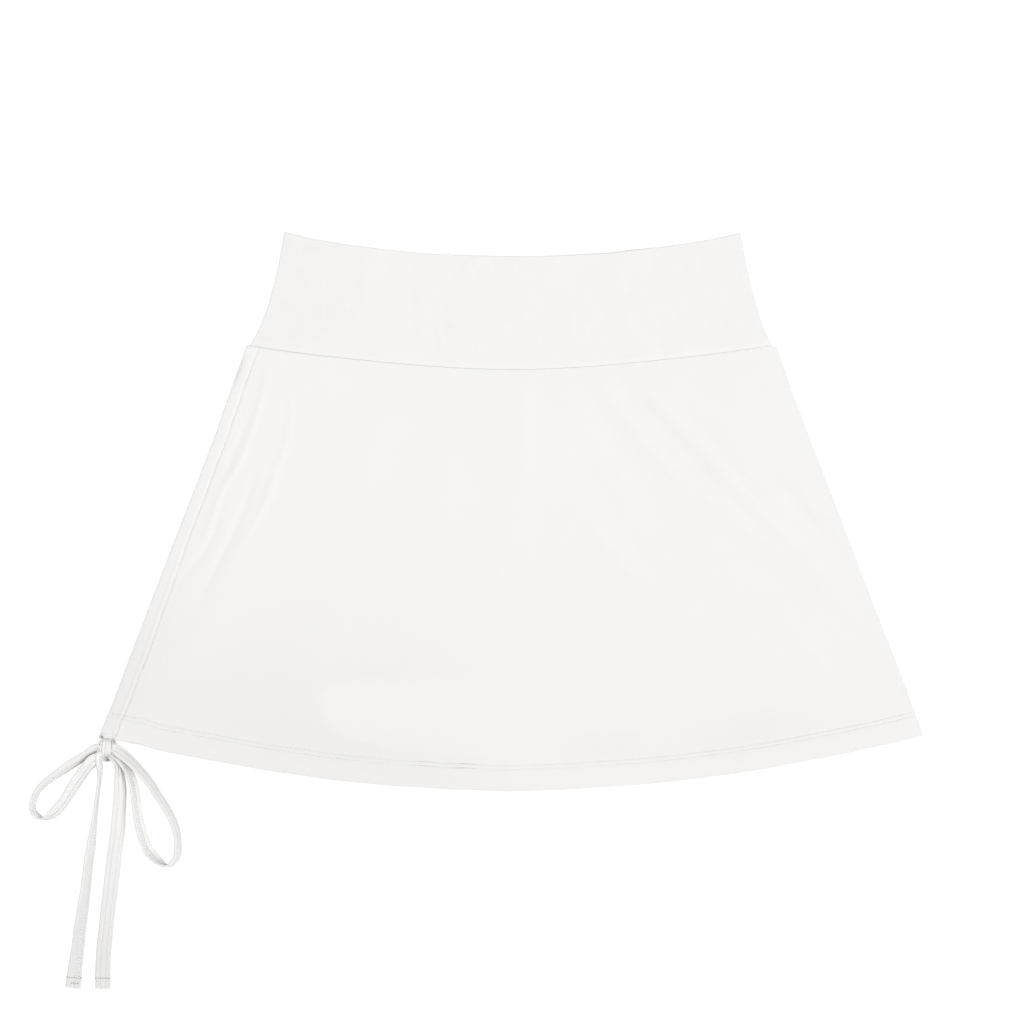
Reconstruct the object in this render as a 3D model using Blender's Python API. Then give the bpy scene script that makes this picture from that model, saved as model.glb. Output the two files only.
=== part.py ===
"""Yoga skort laid flat: high waistband, A-line skirt with a drawstring channel down one side, inner shorts.

The garment lies on the surface z = 0. X runs across it, Y from the hem to the waist and Z is up, in metres.
The origin is the middle of its footprint, without the bow. "left" is the -X side, where the channel is.
Each ply lies on the one below it with a small gap: the back panel is at the bottom and the front panel on top.
"""

import math

import bmesh
import bpy
from mathutils import Vector

# Flat widths of the garment, and the lengths measured along it.
WAIST_WIDTH = 0.318
SKIRT_TOP_WIDTH = 0.372
HEM_WIDTH = 0.575
FULL_LENGTH = 0.3906  # from the waist's corners to the lowest point of the hem
BAND_HEIGHT = 0.0795
WAIST_DIP = 0.0161  # how far the middle of an edge lies below its ends
SEAM_DIP = 0.0168
HEM_DIP = 0.0396
HEM_DEPTH = 0.0185  # the turned-up hem
HEM_FADE = 0.0015  # above and below that depth, where the double ply becomes a single one

# Plies and the gap between them.
PLY = 0.001
DOUBLE_PLY = 0.002  # the folded waistband, and the turned-up hem
GAP = 0.0003

# Heights of the upper faces, from the surface up.
BACK_TOP = PLY
SHORTS_BACK_TOP = BACK_TOP + GAP + PLY
SHORTS_FRONT_TOP = SHORTS_BACK_TOP + GAP + PLY
OVER_SHORTS = SHORTS_FRONT_TOP + GAP + PLY
BAND_TOP = 2 * DOUBLE_PLY + GAP
HEM_TOP = 2 * DOUBLE_PLY + GAP
SIDE_TOP = 0.0027  # the skirt where nothing but its two plies lies on the other

# The waistband's sides flare: half its width grows by these two amounts, evenly and as a square.
BAND_FLARE_EVEN = 0.0117
BAND_FLARE_CURVED = 0.0118
BAND_ROLL = 0.0013  # the seam allowances lift the lower edge of the band
BAND_ROLL_DEPTH = 0.014
EDGE_ROUND = 0.003  # how far in a front panel's edge starts to round down
RIM = 0.0006  # the upright face that is left at a rounded edge

# The drawstring channel, a tunnel along the left side, with the casing strip between its two runs of tape.
CHANNEL_TOP_WIDTH = 0.0091
CHANNEL_HEM_WIDTH = 0.0120
CHANNEL_ROUND = 0.0022
CASING_THICK = 0.0012
CASING_SHARE = 1.06  # of the channel's width, so that the stitching catches its edge
RUN_WIDTH = 0.0046
RUN_THICK = 0.0012
BACK_RUN_Z = BACK_TOP + GAP + RUN_THICK / 2
CASING_Z = BACK_RUN_Z + RUN_THICK / 2 + GAP
FRONT_RUN_Z = CASING_Z + CASING_THICK + GAP + RUN_THICK / 2
CHANNEL_TOP = FRONT_RUN_Z + RUN_THICK / 2 + GAP + PLY
CHANNEL_LINE_TOP = CASING_Z + CASING_THICK + GAP + PLY

# The inner shorts.
SHORTS_HALF_WIDTH = 0.170
LEG_HEM_Y = -0.118
LEG_HEM_RISE = 0.004  # the outer end of a leg's hem is this much higher
CROTCH_Y = -0.066
LEG_GAP = 0.006  # half the space between the legs at their hems
SHORTS_SEAM_GAP = 0.00015
SHORTS_TOP_STEPS = 12
DRAPE_START = 0.008  # the skirt starts to fall this far outside the shorts
DRAPE_RUN = 0.045

# The bow. Its knot is a rounded block at the mouth of the channel.
KNOT_CENTRE = Vector((-0.2838, -0.1688, 0.0043))
KNOT_SIZE = Vector((0.0130, 0.0140, 0.0086))
KNOT_BEVEL = 0.003
TAPE_THICK = 0.0016
TAPE_STEPS = 2  # sections from one route point to the next

# The largest folds of the front panel: soft ridges from one point to another, in millimetres.
FOLD_COLUMNS = ("x0", "y0", "x1", "y1", "half_width", "height")
FOLDS = (
    (-170, 102, -229, -42, 5, 1.0),  # beside the channel, pulled by the drawstring
    (-150, 84, -188, -6, 6, 0.9),
    (40, 88, 104, -34, 22, 1.0),  # from the middle of the waist towards the right hem
    (66, 94, 176, -16, 6, 0.8),
    (110, 96, 198, -2, 12, 1.1),
    (176, 62, 238, -42, 10, 0.9),
    (70, -30, 160, -90, 13, 0.6),
    (184, -76, 220, -114, 6, 0.6),
    (-140, -138, 20, -146, 13, 0.7),  # below the left leg's hem
)

# Routes of the bow's tape, in millimetres from the knot's centre. roll is how far the tape stands on its edge,
# in degrees. It is gathered to less than its width beside the knot.
ROUTE_COLUMNS = ("x", "y", "roll", "width")
LEFT_LOOP = (
    (-7.7, 1.2, 72, 8.0),
    (-12.9, -0.9, 70, 9.0),
    (-19.1, -4.0, 64, 10.4),
    (-27.3, -8.7, 65, 10.4),
    (-35.0, -14.5, 68, 10.4),
    (-42.4, -20.0, 73, 10.4),
    (-47.9, -26.2, 77, 10.4),
    (-51.0, -32.8, 80, 10.4),
    (-51.8, -38.3, 82, 10.4),
    (-49.4, -43.3, 82, 10.4),
    (-44.8, -46.0, 80, 10.4),
    (-39.7, -44.5, 72, 10.4),
    (-35.2, -40.6, 56, 10.4),
    (-30.0, -34.8, 50, 10.4),
    (-24.9, -26.6, 45, 10.4),
    (-19.3, -18.3, 50, 10.0),
    (-13.7, -10.7, 60, 9.0),
    (-8.6, -4.5, 70, 8.0),
)
RIGHT_LOOP = (
    (7.8, 1.9, 70, 8.0),
    (12.8, -0.4, 64, 9.0),
    (19.4, -6.2, 62, 10.4),
    (25.2, -13.8, 61, 10.4),
    (31.0, -22.5, 62, 10.4),
    (36.0, -30.3, 63, 10.4),
    (41.0, -38.1, 65, 10.4),
    (45.1, -45.9, 68, 10.4),
    (47.8, -53.4, 70, 10.4),
    (49.1, -61.2, 71, 10.4),
    (49.3, -69.0, 73, 10.4),
    (47.9, -74.4, 77, 10.4),
    (44.7, -77.8, 79, 10.4),
    (40.4, -78.3, 79, 10.4),
    (35.7, -75.6, 77, 10.4),
    (30.3, -70.2, 74, 10.4),
    (26.8, -63.9, 73, 10.4),
    (23.9, -56.2, 73, 10.4),
    (22.1, -48.0, 73, 10.4),
    (20.7, -39.8, 73, 10.4),
    (19.6, -31.3, 71, 10.4),
    (18.5, -23.5, 66, 10.0),
    (15.9, -15.7, 60, 9.5),
    (12.6, -9.9, 60, 8.8),
    (8.8, -5.2, 70, 8.0),
)
LEFT_TAIL = (
    (-4.0, -7.7, 78, 7.0),
    (-4.6, -13.0, 84, 8.4),
    (-5.1, -18.4, 86, 10.0),
    (-6.2, -26.3, 85, 10.4),
    (-7.1, -34.0, 82, 10.4),
    (-8.1, -41.8, 80, 10.4),
    (-9.1, -49.6, 77, 10.4),
    (-10.3, -57.3, 70, 10.4),
    (-11.3, -65.1, 64, 10.4),
    (-12.7, -72.9, 60, 10.4),
    (-13.6, -80.6, 57, 10.4),
    (-15.4, -95.8, 53, 10.4),
    (-17.4, -109.8, 49, 10.4),
    (-19.2, -123.8, 44, 10.4),
    (-20.8, -137.8, 37, 10.4),
    (-22.6, -151.8, 22, 10.4),
    (-24.1, -164.4, 4, 10.4),
)
RIGHT_TAIL = (
    (4.5, -7.7, 75, 5.0),
    (6.6, -10.8, 62, 6.0),
    (8.4, -14.6, 48, 7.0),
    (9.3, -18.6, 36, 8.0),
    (9.7, -23.5, 22, 9.4),
    (9.8, -29.3, 10, 10.4),
    (9.1, -37.1, 4, 10.4),
    (8.0, -48.0, 0, 10.4),
    (7.2, -55.8, 0, 10.4),
    (5.6, -66.7, 0, 10.4),
    (4.1, -78.5, 0, 10.4),
    (2.3, -94.5, 0, 10.4),
    (0.4, -109.8, 0, 10.4),
    (-1.4, -127.3, 0, 10.4),
    (-3.0, -144.8, 0, 10.4),
    (-3.3, -165.0, 0, 10.4),
)

MM = 0.001


# ---------------------------------------------------------------- sizes worked out from the constants

WAIST_Y = FULL_LENGTH / 2 - WAIST_DIP  # the middle of the waist's edge
SEAM_Y = WAIST_Y - BAND_HEIGHT
HEM_Y = -FULL_LENGTH / 2
SKIRT_LENGTH = SEAM_Y - HEM_Y


def smooth(share):
    """From 0 to 1 with flat ends."""
    share = min(max(share, 0.0), 1.0)
    return share * share * (3 - 2 * share)


def quarter(share):
    """The height of a quarter circle, at a share of its run from the rim."""
    share = min(max(share, 0.0), 1.0)
    return math.sqrt(1 - (1 - share) ** 2)


def between(low, high, share):
    return low + (high - low) * share


def mm(values):
    return [value * MM for value in values]


def skirt_row(share):
    """(half width, middle y, dip) of the skirt's row at that share of the way from the hem to the seam."""
    return (
        between(HEM_WIDTH, SKIRT_TOP_WIDTH, share) / 2,
        between(HEM_Y, SEAM_Y, share),
        between(HEM_DIP, SEAM_DIP, share),
    )


def band_row(share):
    """The same for the waistband's row at that share of the way from the seam to the waist."""
    down = 1 - share
    half = WAIST_WIDTH / 2 + BAND_FLARE_EVEN * down + BAND_FLARE_CURVED * down * down
    low_dip = SEAM_DIP * (half / (SKIRT_TOP_WIDTH / 2)) ** 2
    return half, between(SEAM_Y + GAP, WAIST_Y, share), between(low_dip, WAIST_DIP, share)


def on_row(row, x):
    """The point of an arched row at that x."""
    half, middle, dip = row
    return Vector((x, middle + dip * (x / half) ** 2, 0))


def channel_width(share):
    return between(CHANNEL_HEM_WIDTH, CHANNEL_TOP_WIDTH, share)


# ---------------------------------------------------------------- meshes

def material(name, colour, roughness):
    made = bpy.data.materials.new(name)
    made.use_nodes = True
    shader = made.node_tree.nodes["Principled BSDF"]
    shader.inputs["Base Color"].default_value = (*colour, 1)
    shader.inputs["Roughness"].default_value = roughness
    return made


def add_object(name, vertices, faces, finish):
    mesh = bpy.data.meshes.new(name)
    mesh.from_pydata([tuple(v) for v in vertices], [], faces)
    work = bmesh.new()
    work.from_mesh(mesh)
    bmesh.ops.recalc_face_normals(work, faces=work.faces)
    work.to_mesh(mesh)
    work.free()
    mesh.materials.append(finish)
    mesh.shade_smooth()
    mesh.set_sharp_from_angle(angle=math.radians(40))
    made = bpy.data.objects.new(name, mesh)
    bpy.context.scene.collection.objects.link(made)
    return made


def ply(name, upper, lower, finish):
    """A ply of cloth between two grids of points with the same rows and columns."""
    rows, columns = len(upper), len(upper[0])
    vertices = [p for row in upper for p in row] + [p for row in lower for p in row]
    under = rows * columns

    def at(r, c):
        return r * columns + c

    faces = []
    for r in range(rows - 1):
        for c in range(columns - 1):
            corners = (at(r, c), at(r, c + 1), at(r + 1, c + 1), at(r + 1, c))
            faces.append(corners)
            faces.append(tuple(under + i for i in reversed(corners)))
    rim = [at(0, c) for c in range(columns)]
    rim += [at(r, columns - 1) for r in range(1, rows)]
    rim += [at(rows - 1, c) for c in reversed(range(columns - 1))]
    rim += [at(r, 0) for r in reversed(range(1, rows - 1))]
    for a, b in zip(rim, rim[1:] + rim[:1]):
        faces.append((a, under + a, under + b, b))
    return add_object(name, vertices, faces, finish)


def plate(name, outline, low, high, finish):
    """A flat ply with that outline, between two heights."""
    count = len(outline)
    vertices = [(p.x, p.y, z) for z in (low, high) for p in outline]
    faces = [tuple(range(count)), tuple(range(count, 2 * count))]
    for i in range(count):
        j = (i + 1) % count
        faces.append((i, j, count + j, count + i))
    return add_object(name, vertices, faces, finish)


def loft(name, sections, finish):
    """A closed body through sections that all have the same number of points."""
    count = len(sections[0])
    vertices = [p for section in sections for p in section]
    faces = [tuple(range(count)), tuple(range(len(vertices) - count, len(vertices)))]
    for s in range(len(sections) - 1):
        for i in range(count):
            j = (i + 1) % count
            a, b = s * count, (s + 1) * count
            faces.append((a + i, a + j, b + j, b + i))
    return add_object(name, vertices, faces, finish)


# ---------------------------------------------------------------- the skirt's grid

CHANNEL_ANGLES = (0, 30, 60, 90)  # round the channel's outer edge
CHANNEL_SHARES = (0.42, 0.62, 0.8, 0.9, 1.0, 1.1, 1.35)  # of the channel's width
RIGHT_EDGE = mm((8, 3, 1.3, 0.4, 0))
PLAIN_COLUMNS = 38
HEM_FOLD_ROWS = mm((0, 0.5, 1.6))  # round the fold at the hem's edge
HEM_ROWS = (*HEM_FOLD_ROWS, HEM_DEPTH / 2, *(HEM_DEPTH + step * HEM_FADE for step in (-1, 1, 5)))
SEAM_ROWS = mm((8, 3, 0))
PLAIN_ROWS = 21


def skirt_shares():
    """The rows' places as shares of the way from the hem to the seam."""
    low, high = HEM_ROWS[-1], SKIRT_LENGTH - SEAM_ROWS[0]
    step = (high - low) / (PLAIN_ROWS + 1)
    middle = [low + step * (i + 1) for i in range(PLAIN_ROWS)]
    top = [SKIRT_LENGTH - d for d in SEAM_ROWS]
    return [d / SKIRT_LENGTH for d in (*HEM_ROWS, *middle, *top)]


def skirt_columns(share):
    """The distances from the left edge of a row's columns. The first ones go round the channel."""
    half = skirt_row(share)[0]
    channel = channel_width(share)
    rounded = [CHANNEL_ROUND * (1 - math.cos(math.radians(a))) for a in CHANNEL_ANGLES]
    flat = [channel * s for s in CHANNEL_SHARES]
    right = [2 * half - d for d in RIGHT_EDGE]
    step = (right[0] - flat[-1]) / (PLAIN_COLUMNS + 1)
    middle = [flat[-1] + step * (i + 1) for i in range(PLAIN_COLUMNS)]
    return rounded + flat + middle + right


CHANNEL_COLUMNS = len(CHANNEL_ANGLES) + len(CHANNEL_SHARES) - 1  # the last of them is past the stitching


def hem_share(from_hem, column):
    """1 where the hem is turned up, 0 above it and in the channel."""
    if column < CHANNEL_COLUMNS:
        return 0.0
    return smooth((HEM_DEPTH + HEM_FADE - from_hem) / (2 * HEM_FADE))


def outside_shorts(x, y):
    """How far a point of the skirt is outside the shorts."""
    return math.hypot(max(abs(x) - SHORTS_HALF_WIDTH, 0), max(LEG_HEM_Y - y, 0))


def fold_height(x, y):
    """The height that the largest folds add."""
    total = 0.0
    for fold in FOLDS:
        f = dict(zip(FOLD_COLUMNS, mm(fold)))
        start = Vector((f["x0"], f["y0"]))
        along = Vector((f["x1"], f["y1"])) - start
        out = Vector((x, y)) - start
        share = out.dot(along) / along.length_squared
        away = abs(out.x * along.y - out.y * along.x) / along.length
        ends = smooth(share * 4) * smooth((1 - share) * 4)
        total += f["height"] * ends * math.exp(-((away / f["half_width"]) ** 2))
    return total


def drape(x, y, from_line):
    """The height of the front panel's upper face, away from its edges."""
    over = 1 - smooth((outside_shorts(x, y) - DRAPE_START) / DRAPE_RUN)
    height = between(SIDE_TOP, OVER_SHORTS, over)
    beside = 1 - smooth(from_line / (2 * DRAPE_RUN))
    return between(height, max(height, CHANNEL_LINE_TOP), beside) + fold_height(x, y)


def front_heights(share, column, distance, place):
    """(upper, lower) height of the front panel at a point of its grid, right of the channel's rounded edge."""
    half, channel = skirt_row(share)[0], channel_width(share)
    from_hem, from_right = share * SKIRT_LENGTH, 2 * half - distance
    hem = hem_share(from_hem, column)
    if column < CHANNEL_COLUMNS:
        crown = smooth(abs(distance - channel) / (0.2 * channel))
        upper = between(CHANNEL_LINE_TOP, CHANNEL_TOP, crown) if distance < channel else CHANNEL_LINE_TOP
        return upper, upper - PLY
    floor = BACK_TOP + GAP + hem * (DOUBLE_PLY - PLY)
    upper = between(drape(place.x, place.y, distance - channel), HEM_TOP, smooth(hem))
    fold_edge = between(1, quarter(from_hem / HEM_FOLD_ROWS[-1]), hem)
    rounded = min(quarter(from_right / EDGE_ROUND), fold_edge)
    upper = floor + RIM + (upper - floor - RIM) * rounded
    return upper, max(floor, upper - between(PLY, DOUBLE_PLY, hem))


def skirt_front(finish):
    upper, lower = [], []
    for share in skirt_shares():
        row = skirt_row(share)
        tops, unders = [], []
        for column, distance in enumerate(skirt_columns(share)):
            place = on_row(row, distance - row[0])
            if column < len(CHANNEL_ANGLES):
                angle = math.radians(CHANNEL_ANGLES[column])
                inset = CHANNEL_ROUND - (CHANNEL_ROUND - PLY) * math.cos(angle)
                under = on_row(row, inset - row[0])
                floor = BACK_TOP + GAP
                high = floor + (CHANNEL_TOP - floor) * math.sin(angle)
                low = floor + (CHANNEL_TOP - PLY - floor) * math.sin(angle)
            else:
                under = place
                high, low = front_heights(share, column, distance, place)
            tops.append(Vector((place.x, place.y, high)))
            unders.append(Vector((under.x, under.y, low)))
        upper.append(tops)
        lower.append(unders)
    return ply("skirt_front", upper, lower, finish)


def skirt_back(finish):
    """The back panel, flat on the surface, with its hem turned up on the inside."""
    upper, lower = [], []
    for share in skirt_shares():
        row = skirt_row(share)
        places = [on_row(row, d - row[0]) for d in skirt_columns(share)]
        hems = [hem_share(share * SKIRT_LENGTH, c) for c in range(len(places))]
        upper.append([Vector((p.x, p.y, BACK_TOP + h * (DOUBLE_PLY - PLY))) for p, h in zip(places, hems)])
        lower.append(places)
    return ply("skirt_back", upper, lower, finish)


# ---------------------------------------------------------------- the waistband

BAND_ROWS = mm((0, 1.5, 4, 8, 14))
BAND_PLAIN_ROWS = 5
BAND_TOP_EDGE = mm((2.5, 1, 0.3, 0))
BAND_SIDE_EDGE = mm((0, 0.4, 1.3, 3, 9))
BAND_PLAIN_COLUMNS = 22


def band_shares():
    low, high = BAND_ROWS[-1], BAND_HEIGHT - BAND_TOP_EDGE[0]
    step = (high - low) / (BAND_PLAIN_ROWS + 1)
    middle = [low + step * (i + 1) for i in range(BAND_PLAIN_ROWS)]
    top = [BAND_HEIGHT - d for d in BAND_TOP_EDGE]
    return [d / BAND_HEIGHT for d in (*BAND_ROWS, *middle, *top)]


def band_columns(half):
    right = [2 * half - d for d in reversed(BAND_SIDE_EDGE)]
    step = (right[0] - BAND_SIDE_EDGE[-1]) / (BAND_PLAIN_COLUMNS + 1)
    middle = [BAND_SIDE_EDGE[-1] + step * (i + 1) for i in range(BAND_PLAIN_COLUMNS)]
    return [d - half for d in (*BAND_SIDE_EDGE, *middle, *right)]


def band_height(from_seam, from_waist, from_side):
    """The height of the front band's upper face: rolled up over the seam, rounded down at its other edges."""
    floor = DOUBLE_PLY + GAP
    roll = BAND_ROLL * smooth(from_seam / BAND_ROWS[2] + 0.35)
    roll *= 1 - smooth((from_seam - BAND_ROWS[2]) / (BAND_ROLL_DEPTH - BAND_ROWS[2]))
    rounded = min(quarter(from_waist / BAND_TOP_EDGE[0]), quarter(from_side / EDGE_ROUND))
    return floor + RIM + (BAND_TOP + roll - floor - RIM) * rounded


def waistband_front(finish):
    upper, lower = [], []
    for share in band_shares():
        row = band_row(share)
        from_seam = share * BAND_HEIGHT
        places = [on_row(row, x) for x in band_columns(row[0])]
        heights = [band_height(from_seam, BAND_HEIGHT - from_seam, row[0] - abs(p.x)) for p in places]
        upper.append([Vector((p.x, p.y, h)) for p, h in zip(places, heights)])
        lower.append([Vector((p.x, p.y, DOUBLE_PLY + GAP)) for p in places])
    return ply("waistband_front", upper, lower, finish)


def waistband_back(finish):
    rows = [band_row(share) for share in band_shares()]
    upper = [[on_row(row, x) + Vector((0, 0, DOUBLE_PLY)) for x in band_columns(row[0])] for row in rows]
    lower = [[on_row(row, x) for x in band_columns(row[0])] for row in rows]
    return ply("waistband_back", upper, lower, finish)


# ---------------------------------------------------------------- the inner shorts

def shorts_outline(side):
    """Half of the shorts, from the middle of the seam out and back along the leg's hem. side is -1 or 1."""
    seam = skirt_row(1 - SHORTS_SEAM_GAP / SKIRT_LENGTH)
    middle = GAP / 2
    steps = [between(middle, SHORTS_HALF_WIDTH, i / SHORTS_TOP_STEPS) for i in range(SHORTS_TOP_STEPS + 1)]
    top = [on_row(seam, side * x) for x in steps]
    leg = [
        Vector((side * SHORTS_HALF_WIDTH, LEG_HEM_Y + LEG_HEM_RISE, 0)),
        Vector((side * LEG_GAP, LEG_HEM_Y, 0)),
        Vector((side * middle, CROTCH_Y, 0)),
    ]
    return top + leg


def shorts(finish):
    for name, side in (("left", -1), ("right", 1)):
        outline = shorts_outline(side)
        plate(f"shorts_{name}_back", outline, BACK_TOP + GAP, SHORTS_BACK_TOP, finish)
        plate(f"shorts_{name}_front", outline, SHORTS_BACK_TOP + GAP, SHORTS_FRONT_TOP, finish)


# ---------------------------------------------------------------- the channel and its drawstring

CASING_END = 0.003  # how far inside the mouth the casing ends
CASING_TOP = 0.010  # and below the seam, where the tape turns over it
CASING_SIDE = 0.0017
CASING_ROWS = 10
RUN_TURN_Y = 0.0065  # below the seam, where the tape turns back
RUN_ROWS = 12
TURN_STEPS = 5


def channel_casing(finish):
    """The folded strip between the channel's two runs of tape, stitched to both panels."""
    low, high = CASING_END / SKIRT_LENGTH, 1 - CASING_TOP / SKIRT_LENGTH
    outer, inner = [], []
    for i in range(CASING_ROWS + 1):
        share = between(low, high, i / CASING_ROWS)
        row = skirt_row(share)
        outer.append(on_row(row, CASING_SIDE - row[0]))
        inner.append(on_row(row, channel_width(share) * CASING_SHARE - row[0]))
    return plate("channel_casing", outer + inner[::-1], CASING_Z, CASING_Z + CASING_THICK, finish)


def run_place(share, z):
    """The middle of the channel at that share of the way from the hem to the seam."""
    row = skirt_row(share)
    centre = (CHANNEL_ROUND + 0.8 * channel_width(share)) / 2
    place = on_row(row, centre - row[0])
    return Vector((place.x, place.y, z))


def run_route():
    """From the knot up the front tunnel, over the casing's top and down the back tunnel to the knot."""
    turn = 1 - RUN_TURN_Y / SKIRT_LENGTH
    front = [run_place(turn * i / RUN_ROWS, FRONT_RUN_Z) for i in range(RUN_ROWS + 1)]
    back = [Vector((p.x, p.y, BACK_RUN_Z)) for p in reversed(front)]
    radius = (FRONT_RUN_Z - BACK_RUN_Z) / 2
    onward = (front[-1] - front[-2]).normalized()
    middle = Vector((front[-1].x, front[-1].y, BACK_RUN_Z + radius))
    turned = []
    for i in range(1, TURN_STEPS):
        angle = math.pi * i / TURN_STEPS
        turned.append(middle + radius * (onward * math.sin(angle) + Vector((0, 0, math.cos(angle)))))
    leave = (front[0] - front[1]).normalized()
    out = KNOT_CENTRE.y + KNOT_SIZE.y / 2 + GAP + abs(leave.x) * RUN_WIDTH / 2
    first = front[0] + leave * ((out - front[0].y) / leave.y)
    last = Vector((first.x, first.y, BACK_RUN_Z))
    return [first, *front, *turned, *back, last]


def section(centre, across, normal, width, thick):
    """A tape's section: a rectangle with cut corners."""
    cut = thick * 0.3
    half, deep = across * (width / 2), normal * (thick / 2)
    inset, shallow = across * cut, normal * cut
    corners = []
    for end in (1, -1):
        first = centre + end * (half - inset) + end * deep
        second = centre + end * half + end * (deep - shallow)
        third = centre + end * half - end * (deep - shallow)
        fourth = centre + end * (half - inset) - end * deep
        corners += [first, second, third, fourth]
    return corners


def drawstring_in_channel(finish):
    route = run_route()
    sections = []
    for i, point in enumerate(route):
        onward = (route[min(i + 1, len(route) - 1)] - route[max(i - 1, 0)]).normalized()
        edge = (route[1] - route[RUN_ROWS + 1]).normalized()
        across = edge.cross(Vector((0, 0, 1))).normalized()
        normal = onward.cross(across).normalized()
        sections.append(section(point, across, normal, RUN_WIDTH, RUN_THICK))
    return loft("drawstring_in_channel", sections, finish)


def blend(before, a, b, after, t):
    """The value at a share t of the way from a to b on a smooth curve through four values."""
    square = 2 * before - 5 * a + 4 * b - after
    cube = 3 * a - before - 3 * b + after
    return 0.5 * (2 * a + (b - before) * t + square * t * t + cube * t ** 3)


def spline(rows):
    """The rows of a route with rows between them, on a smooth curve through all of them."""
    found = []
    for i in range(len(rows) - 1):
        before, a, b, after = (rows[min(max(j, 0), len(rows) - 1)] for j in (i - 1, i, i + 1, i + 2))
        for step in range(TAPE_STEPS):
            t = step / TAPE_STEPS
            found.append([blend(*values, t) for values in zip(before, a, b, after)])
    return found + [list(rows[-1])]


def tape(name, rows, lean, finish):
    """A free stretch of tape on a route. Its upper edge leans to the left of the route where lean is 1."""
    stations = [dict(zip(ROUTE_COLUMNS, row)) for row in spline(rows)]
    flat = [Vector((KNOT_CENTRE.x + s["x"] * MM, KNOT_CENTRE.y + s["y"] * MM, 0)) for s in stations]
    sections = []
    for i, (station, place) in enumerate(zip(stations, flat)):
        onward = (flat[min(i + 1, len(flat) - 1)] - flat[max(i - 1, 0)]).normalized()
        side = Vector((-onward.y, onward.x, 0)) * lean
        roll, width = math.radians(station["roll"]), station["width"] * MM
        across = side * math.cos(roll) + Vector((0, 0, math.sin(roll)))
        normal = onward.cross(across)
        rest = (width * math.sin(roll) + TAPE_THICK * math.cos(roll)) / 2
        centre = place + Vector((0, 0, rest))
        sections.append(section(centre, across, normal, width, TAPE_THICK))
    return loft(name, sections, finish)


def knot(finish):
    bpy.ops.mesh.primitive_cube_add(size=1)
    made = bpy.context.object
    made.name = made.data.name = "drawstring_knot"
    for vertex in made.data.vertices:
        vertex.co = Vector([c * s for c, s in zip(vertex.co, KNOT_SIZE)])
    made.location = KNOT_CENTRE
    bevel = made.modifiers.new("rounding", "BEVEL")
    bevel.width = KNOT_BEVEL
    bevel.segments = 3
    made.data.materials.append(finish)
    made.data.shade_smooth()
    return made


def main():
    for old in list(bpy.data.objects):
        bpy.data.objects.remove(old)
    skirt_knit = material("skirt_knit", (0.91, 0.90, 0.885), 0.75)
    band_knit = material("band_knit", (0.91, 0.90, 0.885), 0.7)
    shorts_knit = material("shorts_knit", (0.90, 0.89, 0.875), 0.75)
    tape_knit = material("tape_knit", (0.89, 0.885, 0.875), 0.75)
    skirt_back(skirt_knit)
    skirt_front(skirt_knit)
    waistband_back(band_knit)
    waistband_front(band_knit)
    shorts(shorts_knit)
    channel_casing(skirt_knit)
    drawstring_in_channel(tape_knit)
    knot(tape_knit)
    tape("drawstring_loop_left", LEFT_LOOP, -1, tape_knit)
    tape("drawstring_loop_right", RIGHT_LOOP, 1, tape_knit)
    tape("drawstring_tail_left", LEFT_TAIL, -1, tape_knit)
    tape("drawstring_tail_right", RIGHT_TAIL, -1, tape_knit)


main()
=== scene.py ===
"""Looks of a yoga skort laid flat: high waistband, A-line skirt with a drawstring channel, inner shorts.

The garment lies on z = 0, X runs across it and Y from the hem to the waist. "left" is the -X side, where the
channel is. Shapes are worked out in millimetres, and become metres where a mesh is made. Heights are those of
a piece's upper face.
"""

import math

import bpy
import numpy as np
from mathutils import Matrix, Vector


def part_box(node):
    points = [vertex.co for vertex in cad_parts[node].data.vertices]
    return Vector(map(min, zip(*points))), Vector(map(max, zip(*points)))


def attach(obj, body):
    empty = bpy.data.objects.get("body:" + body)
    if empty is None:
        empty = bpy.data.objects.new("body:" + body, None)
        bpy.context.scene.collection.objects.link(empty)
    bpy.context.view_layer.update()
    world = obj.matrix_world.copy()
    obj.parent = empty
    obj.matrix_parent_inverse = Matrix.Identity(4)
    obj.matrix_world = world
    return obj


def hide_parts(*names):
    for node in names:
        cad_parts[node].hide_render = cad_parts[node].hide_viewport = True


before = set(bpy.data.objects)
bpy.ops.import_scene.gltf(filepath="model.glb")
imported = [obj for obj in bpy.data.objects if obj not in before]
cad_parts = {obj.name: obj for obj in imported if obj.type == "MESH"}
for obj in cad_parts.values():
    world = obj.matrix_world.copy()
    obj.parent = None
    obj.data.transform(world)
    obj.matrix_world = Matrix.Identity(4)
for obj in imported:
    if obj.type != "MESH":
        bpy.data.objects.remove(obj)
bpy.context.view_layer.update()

MM = 0.001
UP = np.array([0, 0, 1.0])


# ---- nodes

class Wire:
    """An output socket, with the operators that maths on it needs."""

    def __init__(self, tree, socket):
        self.tree = tree
        self.socket = socket

    def maths(self, operation, *others):
        return self.tree.node("ShaderNodeMath", dict(enumerate((self, *others))), operation=operation)

    def __add__(self, other):
        return self.maths("ADD", other)

    def __mul__(self, other):
        return self.maths("MULTIPLY", other)

    def __sub__(self, other):
        return self.maths("SUBTRACT", other)

    def __rsub__(self, other):
        return self.tree.node("ShaderNodeMath", {0: other, 1: self}, operation="SUBTRACT")

    __radd__ = __add__
    __rmul__ = __mul__


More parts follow.
